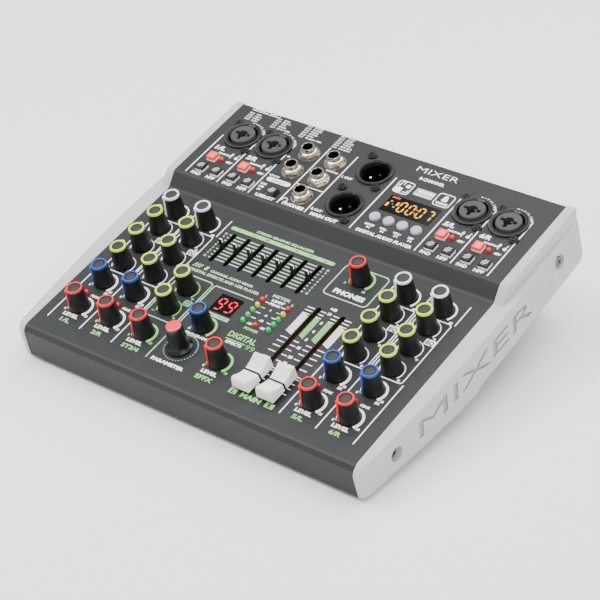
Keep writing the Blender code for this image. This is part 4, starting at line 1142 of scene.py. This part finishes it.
def make_displays():
    glass = Shape(GLASS, DIGIT_RED, DIGIT_AMBER, LED_GREEN, LED_RED)
    for (x_low, x_high, v_low, v_high), deck in ((EFFECT_WINDOW, 0.0), (PLAYER_WINDOW, UPPER)):
        glass.box((x_low + 0.3, v_low + 0.3, deck - 5.0), (x_high - 0.3, v_high - 0.3, deck - 0.2), 0.12, 1)
    glass.use(DIGIT_RED)
    for x in (-26.6, -18.9):
        seven_segment(glass, "9", x, 66.6, 4.4, 9.4, 1.15, -0.2)
    deck = UPPER - 0.2
    glass.use(DIGIT_AMBER)
    for text, x in (("0", 31.6), ("0", 38.0), ("0", 45.2), ("7", 51.6)):
        seven_segment(glass, text, x, 180.2, 3.6, 8.8, 1.0, deck, 0.06)
    for mat, x_low, x_high, v_low, v_high in (
            (DIGIT_AMBER, 43.3, 44.1, 182.6, 183.4), (DIGIT_AMBER, 43.3, 44.1, 185.8, 186.6),
            (DIGIT_AMBER, 22.2, 23.9, 181.8, 185.2), (DIGIT_AMBER, 28.8, 30.4, 184.4, 187.6),
            (LED_RED, 22.6, 28.4, 190.0, 191.6), (LED_RED, 25.9, 26.9, 184.3, 185.3),
            (LED_GREEN, 23.6, 25.2, 186.4, 187.6), (LED_GREEN, 27.7, 29.3, 182.0, 183.2)):
        glass.use(mat).box((x_low, v_low, deck), (x_high, v_high, deck + LIT))
    glass.put("displays", "board_assembly")


def make_leds():
    lamps = Shape(LED_RED, LED_AMBER, LED_GREEN)
    dome = ((1.5, -3.0), (1.5, 1.3), (1.44, 1.75), (1.2, 2.25), (0.8, 2.6), (0.35, 2.75), (0.0, 2.8))
    for x, v, mat in LEDS:
        lamps.use(mat).turned(dome, 24, (x, v))
    for x, v in UPPER_LEDS:
        lamps.use(LED_RED).turned([(r, h + UPPER) for r, h in dome], 24, (x, v))
    lamps.put("indicator_lamps", "board_assembly", 50.0)


def make_board():
    board = Shape(BOARD, BLACK, TRACK, SLOT_SHADE, NICKEL)
    face = -15.0
    board.use(BOARD).box((-110.0, 8.0, -16.2), (110.0, 216.0, -14.6), 0.2, 1)
    for x, v in knobs.values():
        board.use(BLACK).slab(x, v, 4.8, 5.2, face, -6.4, 0.4, 1)
        board.use(NICKEL).turned([(3.2, -6.5), (3.2, -2.0), (3.05, -1.7), (0.0, -1.7)], 24, (x, v))
    for x, v in sliders:
        # Near-black boxes under the graphic EQ slots: painted shade.
        board.use(SLOT_SHADE).box((x - 3.6, EQ_SLOT[0] - 6.0, face), (x + 3.6, EQ_SLOT[1] + 6.0, -4.6), 0.3, 1)
    for x in faders.values():
        board.use(TRACK).box((x - 4.5, MAIN_SLOT[0] - 5.0, face), (x + 4.5, MAIN_SLOT[1] + 5.0, -4.6), 0.3, 1)
        # Near-black strip down each fader track: painted shade in its slit.
        board.use(SLOT_SHADE).box((x - 0.45, MAIN_SLOT[0] - 2.0, -4.7), (x + 0.45, MAIN_SLOT[1] + 2.0, -4.5))
    board.use(BLACK)
    for x, v in buttons.values():
        board.slab(x, v, 3.0, 3.0, face, 0.1, 0.3, 1)
    for x, v in KEYS:
        board.slab(x, v, 2.5, 2.5, face, 3.8, 0.3, 1)
    board.put("board_and_controls", "board_assembly")


make_combos()
make_outputs()
make_jacks()
make_port()
make_displays()
make_leds()
make_board()


# ---- base pan and rear, in upright millimetres ----
def make_pan():
    """Folded tub with softened edges, built on the pan's own corner points."""
    copy = bpy.data.meshes.new_from_object(frame["nodes"]["base_pan"])
    copy.materials.clear()
    copy.materials.append(UNDER)
    obj = bpy.data.objects.new("pan_shell", copy)
    bpy.context.collection.objects.link(obj)
    soft = obj.modifiers.new("soft", "BEVEL")
    soft.width = 0.35 * MM
    soft.segments = 2
    soft.limit_method = "ANGLE"
    soft.angle_limit = math.radians(40.0)
    soft.use_clamp_overlap = True
    copy.shade_smooth()
    copy.set_sharp_from_angle(angle=math.radians(40.0))
    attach(obj, "chassis")
    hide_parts("base_pan")
    feet = Shape(RUBBER, SCREW)
    for spot in ((-96.0, -88.0), (96.0, -88.0), (-84.0, 88.0), (84.0, 88.0)):
        feet.use(RUBBER).turned([(2.4, 0.9), (2.6, 0.02), (5.6, 0.02), (6.5, 0.6), (6.8, 2.0), (6.9, 3.0),
                                 (2.4, 3.0)], 36, spot)
        feet.use(SCREW).turned([(0.0, 0.8), (2.4, 0.8), (2.4, 1.3), (0.0, 1.3)], 20, spot)
    feet.put("rubber_feet", "chassis_steel", base=LEVEL)


def make_rear():
    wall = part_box("base_pan")[1].y / MM
    rear = Shape(BLACK, HOLE_SHADE, NICKEL, SHELL)
    rear.begin()
    rear.use(BLACK).turned([(4.3, -1.5), (4.3, 0.15), (4.1, 0.3), (3.2, 0.3), (3.0, 0.1), (3.0, -9.0),
                            (0.0, -9.0)], 40)
    rear.use(NICKEL).turned([(1.0, -9.0), (1.0, -1.4), (0.7, -1.1), (0.0, -1.0)], 20)
    rear.move(Matrix.Translation((-50.0, wall, 57.0)) @ Matrix.Rotation(-math.pi / 2, 4, "X"))
    x, z = -15.0, 57.1
    # The outer box is the shell; the inner near-black box is painted shade inside the opening.
    for half_x, half_z, mat, front in ((4.6, 1.7, SHELL, 0.15), (4.15, 1.25, HOLE_SHADE, 0.16)):
        rear.use(mat).box((x - half_x, wall - 7.0, z - half_z), (x + half_x, wall + front, z + half_z),
                          1.1 * half_z / 1.7, 4)
    rear.use(BLACK).box((x - 3.2, wall - 5.0, z - 0.35), (x + 3.2, wall + 0.18, z + 0.35), 0.1, 1)
    x, z = -84.0, 42.0
    for x_low, x_high, z_low, z_high in ((-5.6, -4.95, -8.2, 8.2), (4.95, 5.6, -8.2, 8.2), (-5.6, 5.6, -8.2, -7.5),
                                         (-5.6, 5.6, 7.5, 8.2)):
        rear.box((x + x_low, wall - 1.0, z + z_low), (x + x_high, wall + 0.4, z + z_high), 0.15, 1)
    rear.put("rear_connectors", "board_assembly", base=LEVEL)

    ink = Shape(INK)
    for text, x, z, size in (("POWER", -84.0, 27.5, 2.6), ("DC 5V", -50.0, 47.5, 2.4), ("5V", -15.0, 50.0, 2.2)):
        points, faces, width = letter_mesh(text, 0.02)
        scale = size / CAPITAL
        for depth in (0.0, 0.04):
            made = [ink.bm.verts.new((x - (px - width / 2) * scale, wall + depth, z + py * scale))
                    for px, py in points]
            for face in faces:
                ink.bm.faces.new([made[i] for i in face])
    ink.put("rear_print", "chassis_steel", base=LEVEL)

    low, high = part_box("power_switch")
    x, z = (low.x + high.x) / 2 / MM, (low.z + high.z) / 2 / MM
    rings = []
    for dz, out in ((-7.0, 1.4), (-6.2, 2.0), (-3.0, 1.6), (0.0, 1.1), (3.0, 1.7), (6.2, 2.6), (7.0, 2.2)):
        half = ((4.6, -4.5), (4.6, out - 0.4), (4.2, out))
        rings.append([(x - dx, wall + dy, z + dz) for dx, dy in half]
                     + [(x + dx, wall + dy, z + dz) for dx, dy in reversed(half)])
    rocker = Shape(BLACK, INK)
    rocker.loft(rings)
    rocker.use(INK).box((x - 0.3, wall + 2.0, z + 3.4), (x + 0.3, wall + 2.32, z + 5.8), 0.05, 1)
    rocker.put("power_rocker", "switch_plastic", 34.0, body="power_switch", base=LEVEL, replaces=("power_switch",))


make_pan()
make_rear()


# ---- stage, lights and camera ----
def make_stage():
    floor = bpy.data.meshes.new("floor")
    reach = 3.0
    floor.from_pydata([(-reach, -reach, 0.0), (reach, -reach, 0.0), (reach, reach, 0.0), (-reach, reach, 0.0)], [],
                      [(0, 1, 2, 3)])
    floor.materials.append(finish("pale_floor", (250, 250, 250), 0.85, vary=0.0))
    obj = bpy.data.objects.new("floor", floor)
    bpy.context.collection.objects.link(obj)


def area_light(name, place_at, aim_height, size, power):
    light = bpy.data.lights.new(name, "AREA")
    light.shape = "RECTANGLE"
    light.size, light.size_y = size
    light.energy = power
    obj = bpy.data.objects.new(name, light)
    bpy.context.collection.objects.link(obj)
    obj.location = place_at
    aim = Vector((0.0, 0.0, aim_height))
    obj.rotation_euler = (aim - Vector(place_at)).to_track_quat("-Z", "Y").to_euler()


make_stage()
world = bpy.data.worlds.new("studio")
world.use_nodes = True
world.node_tree.nodes["Background"].inputs["Color"].default_value = (1.0, 1.0, 1.0, 1.0)
world.node_tree.nodes["Background"].inputs["Strength"].default_value = 0.75
bpy.context.scene.world = world
area_light("key_light", (-0.7, -0.5, 1.2), 0.03, (0.7, 0.7), 14.0)
area_light("fill_light", (1.1, -0.7, 0.9), 0.03, (0.9, 0.9), 8.0)
area_light("overhead_light", (0.0, 0.1, 1.6), 0.0, (1.8, 1.8), 34.0)
area_light("back_light", (0.2, 1.1, 1.0), 0.05, (1.2, 0.5), 12.0)

camera = bpy.data.cameras.new("camera")
camera.lens = 116.04
camera.sensor_width = 36.0
camera.shift_x, camera.shift_y = -0.0014, -0.00375
eye = bpy.data.objects.new("camera", camera)
bpy.context.collection.objects.link(eye)
eye.location = (0.6338, -0.7677, 0.6765)
eye.rotation_euler = [math.radians(a) for a in (56.956, 2.791, 37.545)]
bpy.context.scene.camera = eye

bpy.context.view_layer.update()
